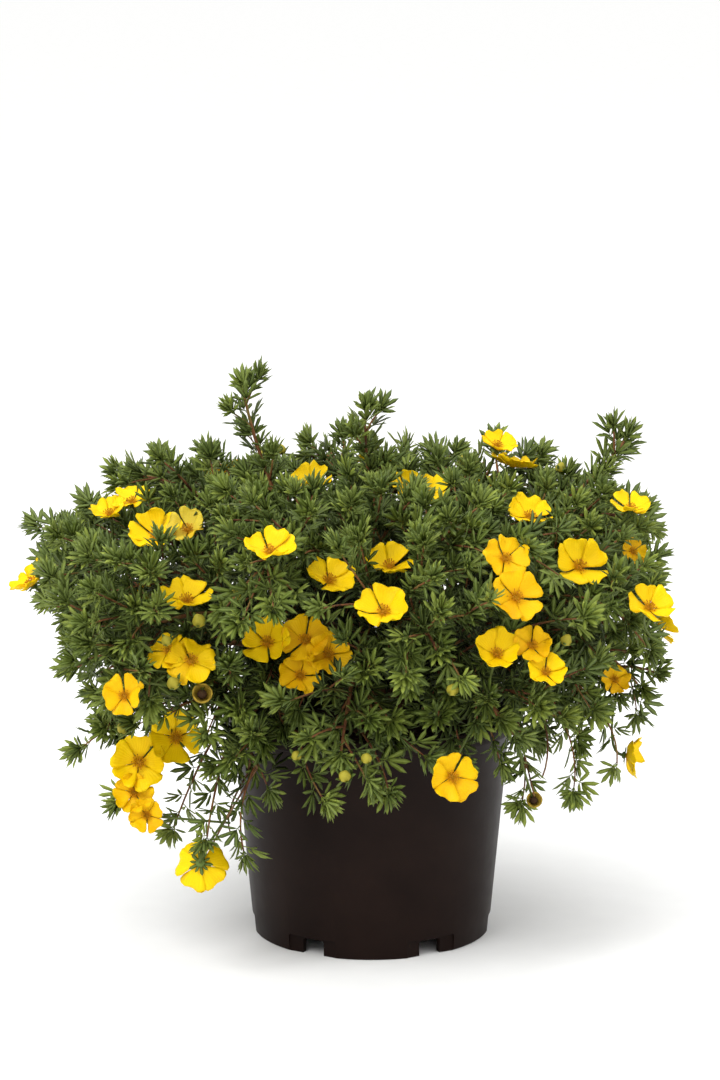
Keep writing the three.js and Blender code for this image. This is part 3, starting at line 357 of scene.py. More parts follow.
def add_stems(bm, lines, sides=6):
    """Adds round stems of changing thickness: each line is its points and its radii."""
    curve = bpy.data.curves.new("stem_lines", "CURVE")
    curve.dimensions = "3D"
    curve.bevel_depth = 1.0
    curve.bevel_resolution = (sides - 4) // 2
    curve.use_fill_caps = True
    for points, radii in lines:
        spline = curve.splines.new("POLY")
        spline.points.add(len(points) - 1)
        for point, place, radius in zip(spline.points, points, radii):
            point.co = (*place, 1.0)
            point.radius = radius
    holder = bpy.data.objects.new("stem_lines", curve)
    bpy.context.scene.collection.objects.link(holder)
    depsgraph = bpy.context.evaluated_depsgraph_get()
    mesh = bpy.data.meshes.new_from_object(holder.evaluated_get(depsgraph))
    before = len(bm.verts)
    bm.from_mesh(mesh)
    bm.verts.ensure_lookup_table()
    bmesh.ops.remove_doubles(bm, verts=bm.verts[before:], dist=STEM_MERGE_GAP)
    bpy.data.objects.remove(holder)
    bpy.data.curves.remove(curve)
    bpy.data.meshes.remove(mesh)


class Stamp:
    """A small shape that is set down many times, each time with its own tint."""

    def __init__(self, bm, name):
        self.mesh = mesh_of(bm, name)
        self.rest = np.empty(len(self.mesh.vertices) * 3)
        self.mesh.vertices.foreach_get("co", self.rest)
        self.rest = self.rest.reshape(-1, 3)

    def press(self, bm, matrix, tint):
        turn = np.array(matrix.to_3x3())
        shift = np.array(matrix.translation)
        self.mesh.vertices.foreach_set("co", (self.rest @ turn.T + shift).ravel())
        self.mesh.attributes["tint"].data.foreach_set("value", [tint] * len(self.rest))
        bm.from_mesh(self.mesh)


# Templates

LEAFLET_OUTLINE = [(0.0, 0.0), (0.26, 0.8), (0.74, 0.94), (1.0, 0.0)]
LEAFLET_FOLD = 0.55
LEAFLET_THICKNESS = 0.4
LEAFLET_ARCH = 1.3
UNDERSIDE_SHIFT = 2.0
LEAF_STALK_RADII = (0.45, 0.3)
LEAF_STALK_OVERLAP = 1.0
LEAF_STALK_DROP = 0.1
MERGE_GAP = 0.01


def leaflet_half(below):
    """One face of a leaflet: a grid drawn to the outline, folded along its rib."""
    bm = new_shape()
    steps = len(LEAFLET_OUTLINE) - 1
    bmesh.ops.create_grid(bm, x_segments=steps, y_segments=2, size=0.5, calc_uvs=True)
    for vert in bm.verts:
        along, fullness = LEAFLET_OUTLINE[round((vert.co.x + 0.5) * steps)]
        across = round(vert.co.y * 2)
        height = LEAFLET_ARCH * math.sin(math.pi * along)
        if across == 0:
            height -= (LEAFLET_FOLD + (LEAFLET_THICKNESS if below else 0.0)) * fullness
        vert.co = Vector((along * LEAFLET_LENGTH, across * LEAFLET_HALF_WIDTH * fullness, height))
    if below:
        bmesh.ops.reverse_faces(bm, faces=bm.faces)
        uv_map = bm.loops.layers.uv.active
        for loop in [loop for face in bm.faces for loop in face.loops]:
            loop[uv_map].uv.x += UNDERSIDE_SHIFT
    return bm


def make_leaflet():
    """A closed leaflet along +X; the UV map of its underside is shifted along it."""
    bm = leaflet_half(False)
    join_shape(bm, leaflet_half(True))
    bmesh.ops.remove_doubles(bm, verts=bm.verts, dist=MERGE_GAP)
    return bm


def make_leaf(fans):
    """A leaf of several leaflets fanned at the end of a short stalk."""
    bm = new_shape()
    for turn, size, lift in fans:
        reach = LEAF_STALK if abs(turn) < SIDE_LEAFLET_TURN else LEAF_STALK - SIDE_LEAFLET_SETBACK
        move = (
            Matrix.Translation((reach, 0, 0))
            @ Matrix.Rotation(math.radians(turn), 4, "Z")
            @ Matrix.Rotation(-math.radians(lift), 4, "Y")
            @ Matrix.Scale(size, 4)
        )
        join_shape(bm, make_leaflet(), move)
    root_radius, end_radius = LEAF_STALK_RADII
    stalk = bmesh.ops.create_cone(
        bm, cap_ends=True, segments=3, radius1=root_radius, radius2=end_radius,
        depth=LEAF_STALK + LEAF_STALK_OVERLAP, calc_uvs=True,
    )
    lay = Matrix.Translation((LEAF_STALK / 2, 0, -LEAF_STALK_DROP)) @ Matrix.Rotation(math.pi / 2, 4, "Y")
    bmesh.ops.transform(bm, matrix=lay, verts=stalk["verts"])
    return bm


# Where leaves and twigs may be

BOX_LOW = Vector([c / MM for c in solid_bounds[0]]) - POT_AXIS / MM
BOX_HIGH = Vector([c / MM for c in solid_bounds[1]]) - POT_AXIS / MM
BOX_SLACK = 3.0
SOIL_CLEARANCE = 3.0
RIM_CLEARANCE = 2.5
RIM_TOP_CLEARANCE = 1.5
NECK_CLEARANCE = 5.0


def fits(place):
    """True where a leaf may be: inside the object's box and clear of the pot and the soil."""
    if any(place[i] < BOX_LOW[i] - BOX_SLACK or place[i] > BOX_HIGH[i] + BOX_SLACK for i in range(3)):
        return False
    radius = math.hypot(place.x, place.y)
    outside = radius > POT_RIM_RADIUS + RIM_CLEARANCE
    if place.z < SOIL_CENTRE_HEIGHT + SOIL_CLEARANCE:
        return outside
    if place.z < POT_HEIGHT + RIM_TOP_CLEARANCE:
        return outside or radius < POT_NECK_RADIUS - NECK_CLEARANCE
    return True


def shell_share(place):
    """Below 1 inside the mound, above 1 outside it."""
    off = place - MOUND_CENTRE
    shares = [off[i] / MOUND_HALF_SIZE[i] for i in range(3)]
    flare = 1 + MOUND_FLARE * max(-1.0, min(1.0, shares[2]))
    parts = [abs(shares[0] / flare), abs(shares[1] / flare), abs(shares[2])]
    return sum(part**MOUND_POWER for part in parts) ** (1 / MOUND_POWER)


def skirt_edge(place):
    """How low the foliage hangs at this bearing."""
    bearing = math.degrees(math.atan2(place.y, place.x))
    for (low, low_edge), (high, high_edge) in zip(SKIRT_EDGE, SKIRT_EDGE[1:]):
        if low <= bearing <= high:
            share = (bearing - low) / (high - low)
            return low_edge + (high_edge - low_edge) * share
    return SKIRT_EDGE[0][1]


def facing_of(bloom):
    """The way a bloom faces: open ones look a little further up than the dish of their solid."""
    _, bearing, tilt, _, state = bloom
    if state == "open" and UPTURN_FROM < tilt < UPTURN_TO:
        tilt += UPTURN
    return polar(math.cos(math.radians(tilt)), bearing, math.sin(math.radians(tilt)))


BLOOM_SPOTS = [(Vector(bloom[0]), facing_of(bloom), bloom[3]) for group in BLOOM_GROUPS for bloom in group]
TOWARDS_VIEWER = Vector((0.0, -0.98, 0.2))
# The space kept clear of leaves: behind a bloom, before it and round it
CLEAR_BEHIND = 2.5
CLEAR_BEFORE = 26.0
CLEAR_ROUND = 1.5
# How far a leaf before a bloom can hide it, what share of the bloom counts, and which blooms look away
CLEAR_SIGHT = 62.0
SIGHT_SHARE = 0.9
LOOKS_AWAY = 0.2


def in_a_bloom(place):
    """True just before the face of a bloom and, on the front, where a leaf would hide it."""
    for centre, facing, radius in BLOOM_SPOTS:
        off = place - centre
        if off.length > CLEAR_SIGHT:
            continue
        ahead = off.dot(facing)
        aside = (off - facing * ahead).length
        if -CLEAR_BEHIND < ahead < CLEAR_BEFORE and aside < radius + CLEAR_ROUND:
            return True
        ahead = off.dot(TOWARDS_VIEWER)
        aside = (off - TOWARDS_VIEWER * ahead).length
        if facing.y < LOOKS_AWAY and ahead > 0 and aside < radius * SIGHT_SHARE:
            return True
    return False


def crosses_a_bloom(points):
    """True where a line would pass before a bloom."""
    steps = [a.lerp(b, share) for a, b in zip(points, points[1:]) for share in (0.0, 0.5, 1.0)]
    return any(in_a_bloom(place) for place in steps)


# Leaves

# Leaves this close to a place count as filling it
NEAR_LEAVES = 16.0
LEAF_MIDDLE = 0.6
LEAF_SPACING = 6.0
NO_LENGTH = 1e-6
SPACING_RANGE = (0.8, 1.25)
# The least lean of a leaf along its twig, in radians, and what chance adds
LEAF_LEAN = (0.62, 0.1)
TUFT_LEAN = (1.0, 0.25)
TUFT_LEAVES = 5
TUFT_SIZE = 0.86
LEAF_RISE = 0.18
LEAF_SCATTER = 0.16
LEAF_SIZE_RANGE = (0.82, 1.14)
# What turns the face of a leaf: its twig, up, and chance
FACE_SHARES = (0.9, 0.5, 0.35)
# The tint of the darkest leaf, and what is added by painted light near the mound's surface, by youth and by
# chance; leaves deep in the mound keep the dark tint as painted shade
DARKEST_TINT = 0.16
PAINTED_LIGHT_TINT = 0.42
YOUTH_TINT = 0.3
TINT_SCATTER = 0.12
# Painted light comes in from the mound's surface over this span of its shares, leaving painted shade deeper
# in
PAINTED_LIGHT_FROM = 0.45
PAINTED_LIGHT_SPAN = 0.5


class Plant:
    """Everything that grows: stem lines and leaves by spray, and where leaves already are."""

    def __init__(self, sprays):
        self.leaves = [[] for _ in range(sprays)]
        self.inner = [[] for _ in range(sprays)]
        self.twigs = [[] for _ in range(sprays)]
        self.knots = []
        self.leafy = {}

    def cell(self, place):
        return tuple(math.floor(part / NEAR_LEAVES) for part in place)

    def note_leaf(self, place):
        self.leafy.setdefault(self.cell(place), []).append(place)

    def near_leaves(self, place):
        """How many leaves grow close to a place."""
        home = self.cell(place)
        found = 0
        for step in itertools.product((-1, 0, 1), repeat=3):
            cell = tuple(a + b for a, b in zip(home, step))
            found += sum((other - place).length < NEAR_LEAVES for other in self.leafy.get(cell, ()))
        return found

    def add_leaf(self, spray, place, along, normal, size, tint):
        middle = place + along * (LEAFLET_LENGTH * LEAF_MIDDLE * size)
        tip = place + along * ((LEAF_STALK + LEAFLET_LENGTH) * size)
        if fits(middle) and fits(tip) and not in_a_bloom(tip) and not in_a_bloom(middle):
            self.leaves[spray].append((placed(place, along, normal, size), tint))
            self.note_leaf(middle)

    def add_twig(self, spray, points, taper):
        radii = tapered(points, TWIG_RADIUS * taper[0], TWIG_RADIUS * taper[1])
        self.twigs[spray].append((points, radii))


def any_way():
    """A random direction."""
    way = Vector((rng.gauss(0, 1), rng.gauss(0, 1), rng.gauss(0, 1)))
    return way.normalized()


def leaf_tint(place, young):
    """Leaves deep in the plant are painted darker as shade, and the young ends are brighter."""
    painted_light = min(1.0, max(0.0, (shell_share(place) - PAINTED_LIGHT_FROM) / PAINTED_LIGHT_SPAN))
    chance = rng.uniform(-TINT_SCATTER, TINT_SCATTER)
    return min(1.0, DARKEST_TINT + PAINTED_LIGHT_TINT * painted_light + YOUTH_TINT * young + chance)


def clothe(plant, spray, points, start, size, crowded=1.0):
    """Sets leaves in a spiral along a twig, and a tuft of them at its end."""
    lengths = [0.0]
    for a, b in zip(points, points[1:]):
        lengths.append(lengths[-1] + (b - a).length)
    whole = lengths[-1]
    reach = whole * start
    turn = rng.uniform(0, 360)
    while reach < whole:
        i = max(k for k in range(len(points) - 1) if lengths[k] <= reach)
        share = (reach - lengths[i]) / max(lengths[i + 1] - lengths[i], NO_LENGTH)
        place = points[i].lerp(points[i + 1], share)
        along = (points[i + 1] - points[i]).normalized()
        lean = LEAF_LEAN[0] + LEAF_LEAN[1] * rng.random()
        set_leaf(plant, spray, place, along, turn, lean, size, reach / whole)
        reach += LEAF_SPACING * rng.uniform(*SPACING_RANGE) / crowded
        turn += SPIRAL_STEP
    end = (points[-1] - points[-2]).normalized()
    for k in range(TUFT_LEAVES):
        lean = TUFT_LEAN[0] + TUFT_LEAN[1] * rng.random()
        set_leaf(plant, spray, points[-1], end, turn + k * 360 / TUFT_LEAVES, lean, size * TUFT_SIZE, 1.0)


def set_leaf(plant, spray, place, along, turn, lean, size, young):
    """One leaf off a twig; a lean of 0 sets it across the twig."""
    out = Matrix.Rotation(math.radians(turn), 3, along) @ square_to(along, UP)
    way = out * math.cos(lean) + along * math.sin(lean) + UP * LEAF_RISE + any_way() * LEAF_SCATTER
    way.normalize()
    by_twig, by_sky, by_chance = FACE_SHARES
    normal = along * by_twig + UP * by_sky + any_way() * by_chance
    size *= rng.uniform(*LEAF_SIZE_RANGE)
    plant.add_leaf(spray, place, way, normal, size, leaf_tint(place, young))


# Growing the foliage

TWIG_BOW_SCATTER = 0.06
# Two thirds of the way to the bend, the handles of a cubic curve give it an even bow
BEND_PULL = 0.67
SPRAY_STEPS = 16
LEAFY_START = 0.9

# Twigs off a main stem: where they start, how long they are at its foot, and how much shorter at its tip
SIDE_TWIGS = 13
TALL_SIDE_TWIGS = 9
TWIGS_FROM = 0.8
TWIGS_END_SHORT = 0.02
TWIG_PLACE_RANGE = (0.2, 0.8)
TWIG_TURN_SCATTER = 20
TWIG_LENGTH = 46
TWIG_SHORTENING = 22
TWIG_LENGTH_RANGE = (0.75, 1.2)
TALL_TWIG_LENGTH = 15
TALL_TWIG_EXTRA = 10
HEART = Vector((0, 0, 150))
# What sets a twig's way: out from its stem, along it, away from the heart, and up
TWIG_WAY_SHARES = (0.8, 0.62, 0.25, 0.12)
TWIG_BOW = 0.08
TWIG_STEPS = 4
TWIG_LEAF_SIZE = 0.98
SIDE_TWIG_BARE = 0.28
SIDE_TWIG_TAPER = (1.25, 0.7)

DROOP_STEPS = 7
DROOP_TAPER = (1.2, 0.7)
DROOP_BARE = 0.25
DROOP_LEAF_SIZE = 0.95
DROOP_CROWDING = 1.1

# Places on the main stems that a new twig can grow from
ROOTS_PER_STEM = 30
ROOTS_FROM = 0.28
ROOTS_SPAN = 0.7

# Twigs that fill the mound where there are too few leaves
FILL_TRIES = 5200
FILL_ENOUGH = 2
FILL_SETBACK = 26
FILL_REACH = 85
FILL_BOW = 0.06
FILL_LEAFY_LENGTH = 30
FILL_CROWDING = 1.25
FILL_TAPER = (1.1, 0.6)
FILL_DEPTH_RANGE = (0.66, 1.0)
FILL_DEPTH_POWER = 0.6
LOWEST_WAY = -0.35
TURNED_UP = -0.5
SEARCH_REACH = 2.2 * max(MOUND_HALF_SIZE)
SEARCH_HALVINGS = 16

# Plainer leaves deep in the mound
INNER_TRIES = 9000
INNER_ENOUGH = 3
INNER_GAP = 40.0
INNER_REACH = (0.3, 0.8)
INNER_CLEARANCE = 6
INNER_SCATTER = 4
INNER_STANDOFF = 2
INNER_FACE_SCATTER = 0.6


def arc(start, middle, end, steps):
    """The points of a bow that leans towards its middle guide."""
    shares = [i / steps for i in range(steps + 1)]
    return [start * (1 - t) ** 2 + middle * 2 * t * (1 - t) + end * t * t for t in shares]


def curved(start, end, lift, steps):
    """A gently bowed line from one place to another."""
    span = (end - start).length
    middle = (start + end) / 2 + UP * lift * span + any_way() * TWIG_BOW_SCATTER * span
    return arc(start, middle, end, steps)


def bent(start, middle, end, steps):
    """A line that bends fully round its middle guide."""
    guides = (start, start.lerp(middle, BEND_PULL), end.lerp(middle, BEND_PULL), end)
    return [bezier(guides, i / steps) for i in range(steps + 1)]


def tapered(points, thick, thin):
    last = len(points) - 1
    return [thick + (thin - thick) * i / last for i in range(len(points))]


def grow_sprays(plant):
    """The leafy part of every main stem, and the twigs off it."""
    for spray, (guides, leafy_from, kind) in enumerate(SHOOTS):
        first = leafy_from * LEAFY_START
        steps = [first + (LEAFY_TO[kind] - first) * i / SPRAY_STEPS for i in range(SPRAY_STEPS + 1)]
        leafy = [bezier(guides, step) for step in steps]
        plant.twigs[spray].append((leafy, tapered(leafy, *LEAFY_RADII)))
        clothe(plant, spray, leafy, 0.0, 1.0)
        count = TALL_SIDE_TWIGS if kind == "tall" else SIDE_TWIGS
        for k in range(count):
            grow_side_twig(plant, spray, k, count)


def grow_side_twig(plant, spray, k, count):
    """A short leafy twig off the main stem of a spray."""
    guides, leafy_from, kind = SHOOTS[spray]
    share = (k + rng.uniform(*TWIG_PLACE_RANGE)) / count
    first = leafy_from * TWIGS_FROM
    t = first + (LEAFY_TO[kind] - TWIGS_END_SHORT - first) * share
    place = bezier(guides, t)
    along = slope(guides, t)
    turn = k * SPIRAL_STEP + rng.uniform(-TWIG_TURN_SCATTER, TWIG_TURN_SCATTER)
    out = Matrix.Rotation(math.radians(turn), 3, along) @ square_to(along, UP)
    length = (TWIG_LENGTH - TWIG_SHORTENING * share) * rng.uniform(*TWIG_LENGTH_RANGE)
    if kind == "tall":
        length = TALL_TWIG_LENGTH + TALL_TWIG_EXTRA * (1 - share) * rng.random()
    ways = (out, along, (place - HEART).normalized(), UP)
    way = sum((way * part for way, part in zip(ways, TWIG_WAY_SHARES)), Vector()).normalized()
    end = place + way * length
    if not fits(end):
        return
    points = curved(place, end, TWIG_BOW, TWIG_STEPS)
    if crosses_a_bloom(points):
        return
    plant.add_twig(spray, points, SIDE_TWIG_TAPER)
    plant.knots += [(point, spray) for point in points[1:]]
    clothe(plant, spray, points, SIDE_TWIG_BARE, TWIG_LEAF_SIZE)


def grow_droops(plant):
    """The leafy ends that hang beside and before the pot."""
    tree, places = nearest_stems(plant)
    for guides in LEAFY_DROOPS:
        start, middle, end = [Vector(place) for place in guides]
        root, spray = places[tree.find(start)[1]]
        points = [root] + bent(start, middle, end, DROOP_STEPS)
        plant.add_twig(spray, points, DROOP_TAPER)
        clothe(plant, spray, points, DROOP_BARE, DROOP_LEAF_SIZE, DROOP_CROWDING)


def nearest_stems(plant):
    """A search tree of places on stems, and each place with its spray."""
    places = list(plant.knots)
    for spray, (guides, _, kind) in enumerate(SHOOTS):
        if kind == "tall":
            continue
        for i in range(ROOTS_PER_STEM):
            t = ROOTS_FROM + ROOTS_SPAN * i / (ROOTS_PER_STEM - 1)
            places.append((bezier(guides, t), spray))
    tree = KDTree(len(places))
    for i, (place, _) in enumerate(places):
        tree.insert(place, i)
    tree.balance()
    return tree, places


def mound_sample():
    """A place in the outer foliage of the mound, found by halving the way to its surface."""
    way = any_way()
    if way.z < LOWEST_WAY:
        way.z *= TURNED_UP
        way.normalize()
    low, high = 0.0, SEARCH_REACH
    for _ in range(SEARCH_HALVINGS):
        middle = (low + high) / 2
        if shell_share(MOUND_CENTRE + way * middle) < 1:
            low = middle
        else:
            high = middle
    surface = low * (1 + MOUND_UNEVENNESS * noise.noise(way * MOUND_BUMPS))
    return MOUND_CENTRE + way * (surface * rng.uniform(*FILL_DEPTH_RANGE) ** FILL_DEPTH_POWER)


def fill_mound(plant):
    """Grows twigs towards places in the mound that still have too few leaves."""
    tree, places = nearest_stems(plant)
    for _ in range(FILL_TRIES):
        target = mound_sample()
        if target.z < skirt_edge(target) or not fits(target) or in_a_bloom(target):
            continue
        if plant.near_leaves(target) >= FILL_ENOUGH:
            continue
        inward = target + (MOUND_CENTRE - target).normalized() * FILL_SETBACK
        _, index, gap = tree.find(inward)
        if gap > FILL_REACH:
            continue
        start, spray = places[index]
        points = curved(start, target, FILL_BOW, TWIG_STEPS)
        if crosses_a_bloom(points):
            continue
        plant.add_twig(spray, points, FILL_TAPER)
        span = sum((b - a).length for a, b in zip(points, points[1:]))
        bare = max(0.0, 1 - FILL_LEAFY_LENGTH / max(span, FILL_LEAFY_LENGTH + 1))
        clothe(plant, spray, points, bare, TWIG_LEAF_SIZE, FILL_CROWDING)


def fill_inside(plant):
    """Sets plainer leaves on the stems deep in the mound, where they are only glimpsed."""
    tree, places = nearest_stems(plant)
    for _ in range(INNER_TRIES):
        way = any_way()
        reach = rng.uniform(*INNER_REACH)
        target = MOUND_CENTRE + Vector([way[i] * MOUND_HALF_SIZE[i] * reach for i in range(3)])
        if target.z < SOIL_CENTRE_HEIGHT + INNER_CLEARANCE or not fits(target) or in_a_bloom(target):
            continue
        if plant.near_leaves(target) >= INNER_ENOUGH:
            continue
        start, spray = places[tree.find(target)[1]]
        out = (target - start + any_way() * INNER_SCATTER).normalized()
        if (target - start).length > INNER_GAP:
            continue
        leaf = placed(start + out * INNER_STANDOFF, out, UP + any_way() * INNER_FACE_SCATTER)
        plant.inner[spray].append((leaf, leaf_tint(target, 0.0)))
        plant.note_leaf(target)


# Blooms

DRAW_FACTOR = 1664525
DRAW_STEP = 1013904223
DRAW_RANGE = 2**32


class Draws:
    """The seeded draws that set how each bloom is turned, as in its solid."""

    def __init__(self, seed):
        self.state = seed

    def next(self):
        self.state = (self.state * DRAW_FACTOR + DRAW_STEP) % DRAW_RANGE
        return self.state / DRAW_RANGE


# A petal's outline: shares of the bloom's radius along the petal, and half its width there
PETAL_ROWS = [
    (0.08, 0.07), (0.24, 0.15), (0.44, 0.31), (0.64, 0.47), (0.82, 0.54), (0.94, 0.46), (1.0, 0.26),
]
PETAL_COLUMNS = 6
PETAL_THICKNESS = 0.35
PETAL_NOTCH = 0.07
PETAL_TROUGH = 0.34
PETAL_RUFFLES = 2.6
RUFFLE_GROWTH = 1.5
PETAL_SAG = 1.6
CURL_FROM = 0.6
TWIST_RANGE = (-0.2, 0.2)
NOISE_FIELD = 90
STATES = {
    "open": {"cup": 0.36, "ruffle": 0.26, "curl": 0.0, "tint": 0.85},
    "old": {"cup": 0.3, "ruffle": 0.34, "curl": 0.08, "tint": 0.56},
    "reflexed": {"cup": -0.12, "ruffle": 0.36, "curl": 0.3, "tint": 0.72},
    "wilted": {"cup": 0.5, "ruffle": 0.4, "curl": 0.2, "tint": 0.08},
}

# How unlike each other the petals of one bloom are
PETAL_TURN_RANGE = (-6, 6)
PETAL_TILT_RANGE = (-16, 6)
PETAL_SIZE_RANGE = (0.96, 1.1)
PETAL_TINT_RANGE = (-0.08, 0.08)
PETAL_LAP = 0.3

# Stamens and calyxes, as they measure on a bloom of this radius
USUAL_RADIUS = 15
DOME_RADIUS = 2.0
DOME_FLATNESS = 0.75
DOME_TINT = 0.2
THREAD_RADII = (0.22, 0.16)
THREAD_LENGTH_RANGE = (3.4, 4.8)
THREAD_RISE = 0.6
THREAD_TINT = 0.45
HEAD_RADIUS = 0.5
HEAD_RISE = 0.7
HEAD_SHAPE = (1.0, 0.8, 1.3)
HEAD_TINT = 0.9
# The lean of the innermost stamen and what the outermost adds, in radians
STAMEN_LEAN = (0.35, 0.75)
SEPAL_SIZES = (0.7, 0.56)
SEPAL_DROPS = (1.4, 1.7)
SEPAL_SHAPE = (0.62, 0.95, 0.8)
SEPAL_TINT = 0.75
CUP_RADIUS = 2.7
CUP_DROP = 1.9
CUP_FLATNESS = 0.6
GREEN_TINT = 0.7

# A flower stalk: where it joins the bloom and bends, behind it, and where its root is looked for
STALK_SEAT = 3.0
STALK_ELBOW = 11
STALK_BACK = 8
STALK_DOWN = 6
STALK_STEPS = 8
STALK_ROOTS = 24
FLOWER_STALK_RADII = (0.75, 0.95)


def make_petal(radius, state, sag):
    """One petal along +X: a grid drawn to its outline, cupped, ruffled and given thickness."""
    look = STATES[state]
    bm = new_shape()
    steps = len(PETAL_ROWS) - 1
    bmesh.ops.create_grid(bm, x_segments=steps, y_segments=PETAL_COLUMNS, size=0.5, calc_uvs=True)
    seed = Vector((rng.uniform(0, NOISE_FIELD), rng.uniform(0, NOISE_FIELD), 0))
    twist = rng.uniform(*TWIST_RANGE)
    for vert in bm.verts:
        row = round((vert.co.x + 0.5) * steps)
        along, half = PETAL_ROWS[row]
        across = vert.co.y * 2
        notch = PETAL_NOTCH * (1 - abs(across)) if row == steps else 0.0
        x = (along - notch) * radius
        y = across * half * radius
        wave = noise.noise(seed + Vector((x, y, 0)) * (PETAL_RUFFLES / radius))
        ruffle = look["ruffle"] * radius * along**RUFFLE_GROWTH * wave
        bowl = look["cup"] * radius * along**2 + PETAL_TROUGH * radius * (across * half) ** 2
        curl = -look["curl"] * radius * max(0.0, along - CURL_FROM)
        vert.co = Vector((x, y, bowl + ruffle + curl + sag * along + twist * y))
    bmesh.ops.solidify(bm, geom=bm.faces[:], thickness=PETAL_THICKNESS)
    bmesh.ops.recalc_face_normals(bm, faces=bm.faces)
    return bm


def add_part(bm, part, matrix, tint):
    """Adds one shape to another at its place, with its tint."""
    tints = part.verts.layers.float["tint"]
    for vert in part.verts:
        vert[tints] = tint
    join_shape(bm, part, matrix)


def aimed(place, way):
    """The matrix that sets a shape at a place with its +Z along a way."""
    return Matrix.Translation(place) @ way.to_track_quat("Z", "Y").to_matrix().to_4x4()


def bloom_frame(bloom):
    """The matrix with +Z along the bloom's facing and +X on its first petal line."""
    place, facing = Vector(bloom[0]), facing_of(bloom)
    across = square_to(facing, UP)
    turn = Matrix((across, facing.cross(across), facing)).transposed().to_4x4()
    return Matrix.Translation(place) @ turn


def add_petals(bm, bloom, spin, sags):
    home = bloom_frame(bloom)
    state = bloom[4]
    for k, sag in enumerate(sags):
        turn = spin + math.radians(360 / PETAL_COUNT * k + rng.uniform(*PETAL_TURN_RANGE))
        tilt = math.radians(rng.uniform(*PETAL_TILT_RANGE))
        lift = Matrix.Translation((0, 0, PETAL_LAP * (k % 2))) @ Matrix.Rotation(tilt, 4, "Y")
        petal = make_petal(bloom[3] * rng.uniform(*PETAL_SIZE_RANGE), state, sag)
        tint = min(1.0, STATES[state]["tint"] + rng.uniform(*PETAL_TINT_RANGE))
        add_part(bm, petal, home @ Matrix.Rotation(turn, 4, "Z") @ lift, tint)


def add_stamens(bm, bloom):
    """Thin stamens with oval heads round a low dome."""
    home = bloom_frame(bloom)
    size = bloom[3] / USUAL_RADIUS
    root_radius, end_radius = [radius * size for radius in THREAD_RADII]
    dome = new_shape()
    bmesh.ops.create_uvsphere(dome, u_segments=10, v_segments=6, radius=DOME_RADIUS * size, calc_uvs=True)
    add_part(bm, dome, home @ Matrix.Diagonal((1, 1, DOME_FLATNESS, 1)), DOME_TINT)
    for k in range(STAMEN_COUNT):
        # The step is in radians here, which strews the stamens evenly enough
        bearing = SPIRAL_STEP * k
        lean = STAMEN_LEAN[0] + STAMEN_LEAN[1] * (k / STAMEN_COUNT)
        length = rng.uniform(*THREAD_LENGTH_RANGE) * size
        aside = math.sin(lean)
        way = Vector((aside * math.cos(bearing), aside * math.sin(bearing), math.cos(lean)))
        thread = new_shape()
        bmesh.ops.create_cone(
            thread, cap_ends=True, segments=3, radius1=root_radius, radius2=end_radius, depth=length,
            calc_uvs=True,
        )
        add_part(bm, thread, home @ aimed(way * (length / 2 + THREAD_RISE), way), THREAD_TINT)
        head = new_shape()
        bmesh.ops.create_icosphere(head, subdivisions=1, radius=HEAD_RADIUS * size, calc_uvs=True)
        end = Matrix.Translation(way * (length + HEAD_RISE)) @ Matrix.Diagonal((*HEAD_SHAPE, 1))
        add_part(bm, head, home @ end, HEAD_TINT)


def add_calyx(bm, bloom, spin):
    """Two rings of green sepals behind the petals, and the swelling of the stalk."""
    home = bloom_frame(bloom)
    size = bloom[3] / USUAL_RADIUS
    for k in range(PETAL_COUNT * 2):
        sepal = make_sepal(size * SEPAL_SIZES[k % 2])
        turn = Matrix.Rotation(spin + math.pi / PETAL_COUNT * k, 4, "Z")
        drop = Matrix.Translation((size, 0, -SEPAL_DROPS[k % 2]))
        add_part(bm, sepal, home @ turn @ drop, SEPAL_TINT)
    cup = new_shape()
    bmesh.ops.create_uvsphere(cup, u_segments=10, v_segments=6, radius=CUP_RADIUS * size, calc_uvs=True)
    flat = Matrix.Translation((0, 0, -CUP_DROP)) @ Matrix.Diagonal((1, 1, CUP_FLATNESS, 1))
    add_part(bm, cup, home @ flat, GREEN_TINT)


def make_sepal(size):
    """A leaflet drawn short and broad."""
    bm = make_leaflet()
    shape = Matrix.Diagonal((*[part * size for part in SEPAL_SHAPE], 1))
    bmesh.ops.transform(bm, matrix=shape, verts=bm.verts)
    return bm


def flower_stalk(bloom, tree, places):
    """The line of a flower stalk to the back of its bloom, from a stem that hides no bloom."""
    facing = facing_of(bloom)
    seat = Vector(bloom[0]) - facing * STALK_SEAT
    elbow = seat - facing * STALK_ELBOW
    nearest = None
    for found in tree.find_n(elbow - facing * STALK_BACK - UP * STALK_DOWN, STALK_ROOTS):
        points = bent(places[found[1]][0], elbow, seat, STALK_STEPS)
        nearest = nearest or points
        if not crosses_a_bloom(points[:-2]):
            return points
    return nearest


def make_blooms(materials, plant):
    """Every bloom: petals, stamens, and its green calyx and stalk."""
    draws = Draws(BLOOM_SEED)
    tree, places = nearest_stems(plant)
    for number, group in enumerate(BLOOM_GROUPS, 1):
        name = f"bloom_{number:02d}"
        petals, stamens, calyxes = new_shape(), new_shape(), new_shape()
        stalks = []
        for bloom in group:
            spin = draws.next() * math.tau
            sags = [(draws.next() - 0.5) * PETAL_SAG for _ in range(PETAL_COUNT)]
            add_petals(petals, bloom, spin, sags)
            add_stamens(stamens, bloom)
            add_calyx(calyxes, bloom, spin + math.pi / PETAL_COUNT)
            line = flower_stalk(bloom, tree, places)
            stalks.append((line, tapered(line, *FLOWER_STALK_RADII)))
        add_stems(calyxes, stalks)
        finish_piece(f"petals_{name}", petals, materials["petal"], (name,))
        finish_piece(f"stamens_{name}", stamens, materials["stamen"])
        finish_piece(f"calyx_{name}", calyxes, materials["bud"])


# Buds, spent cups and bare twigs

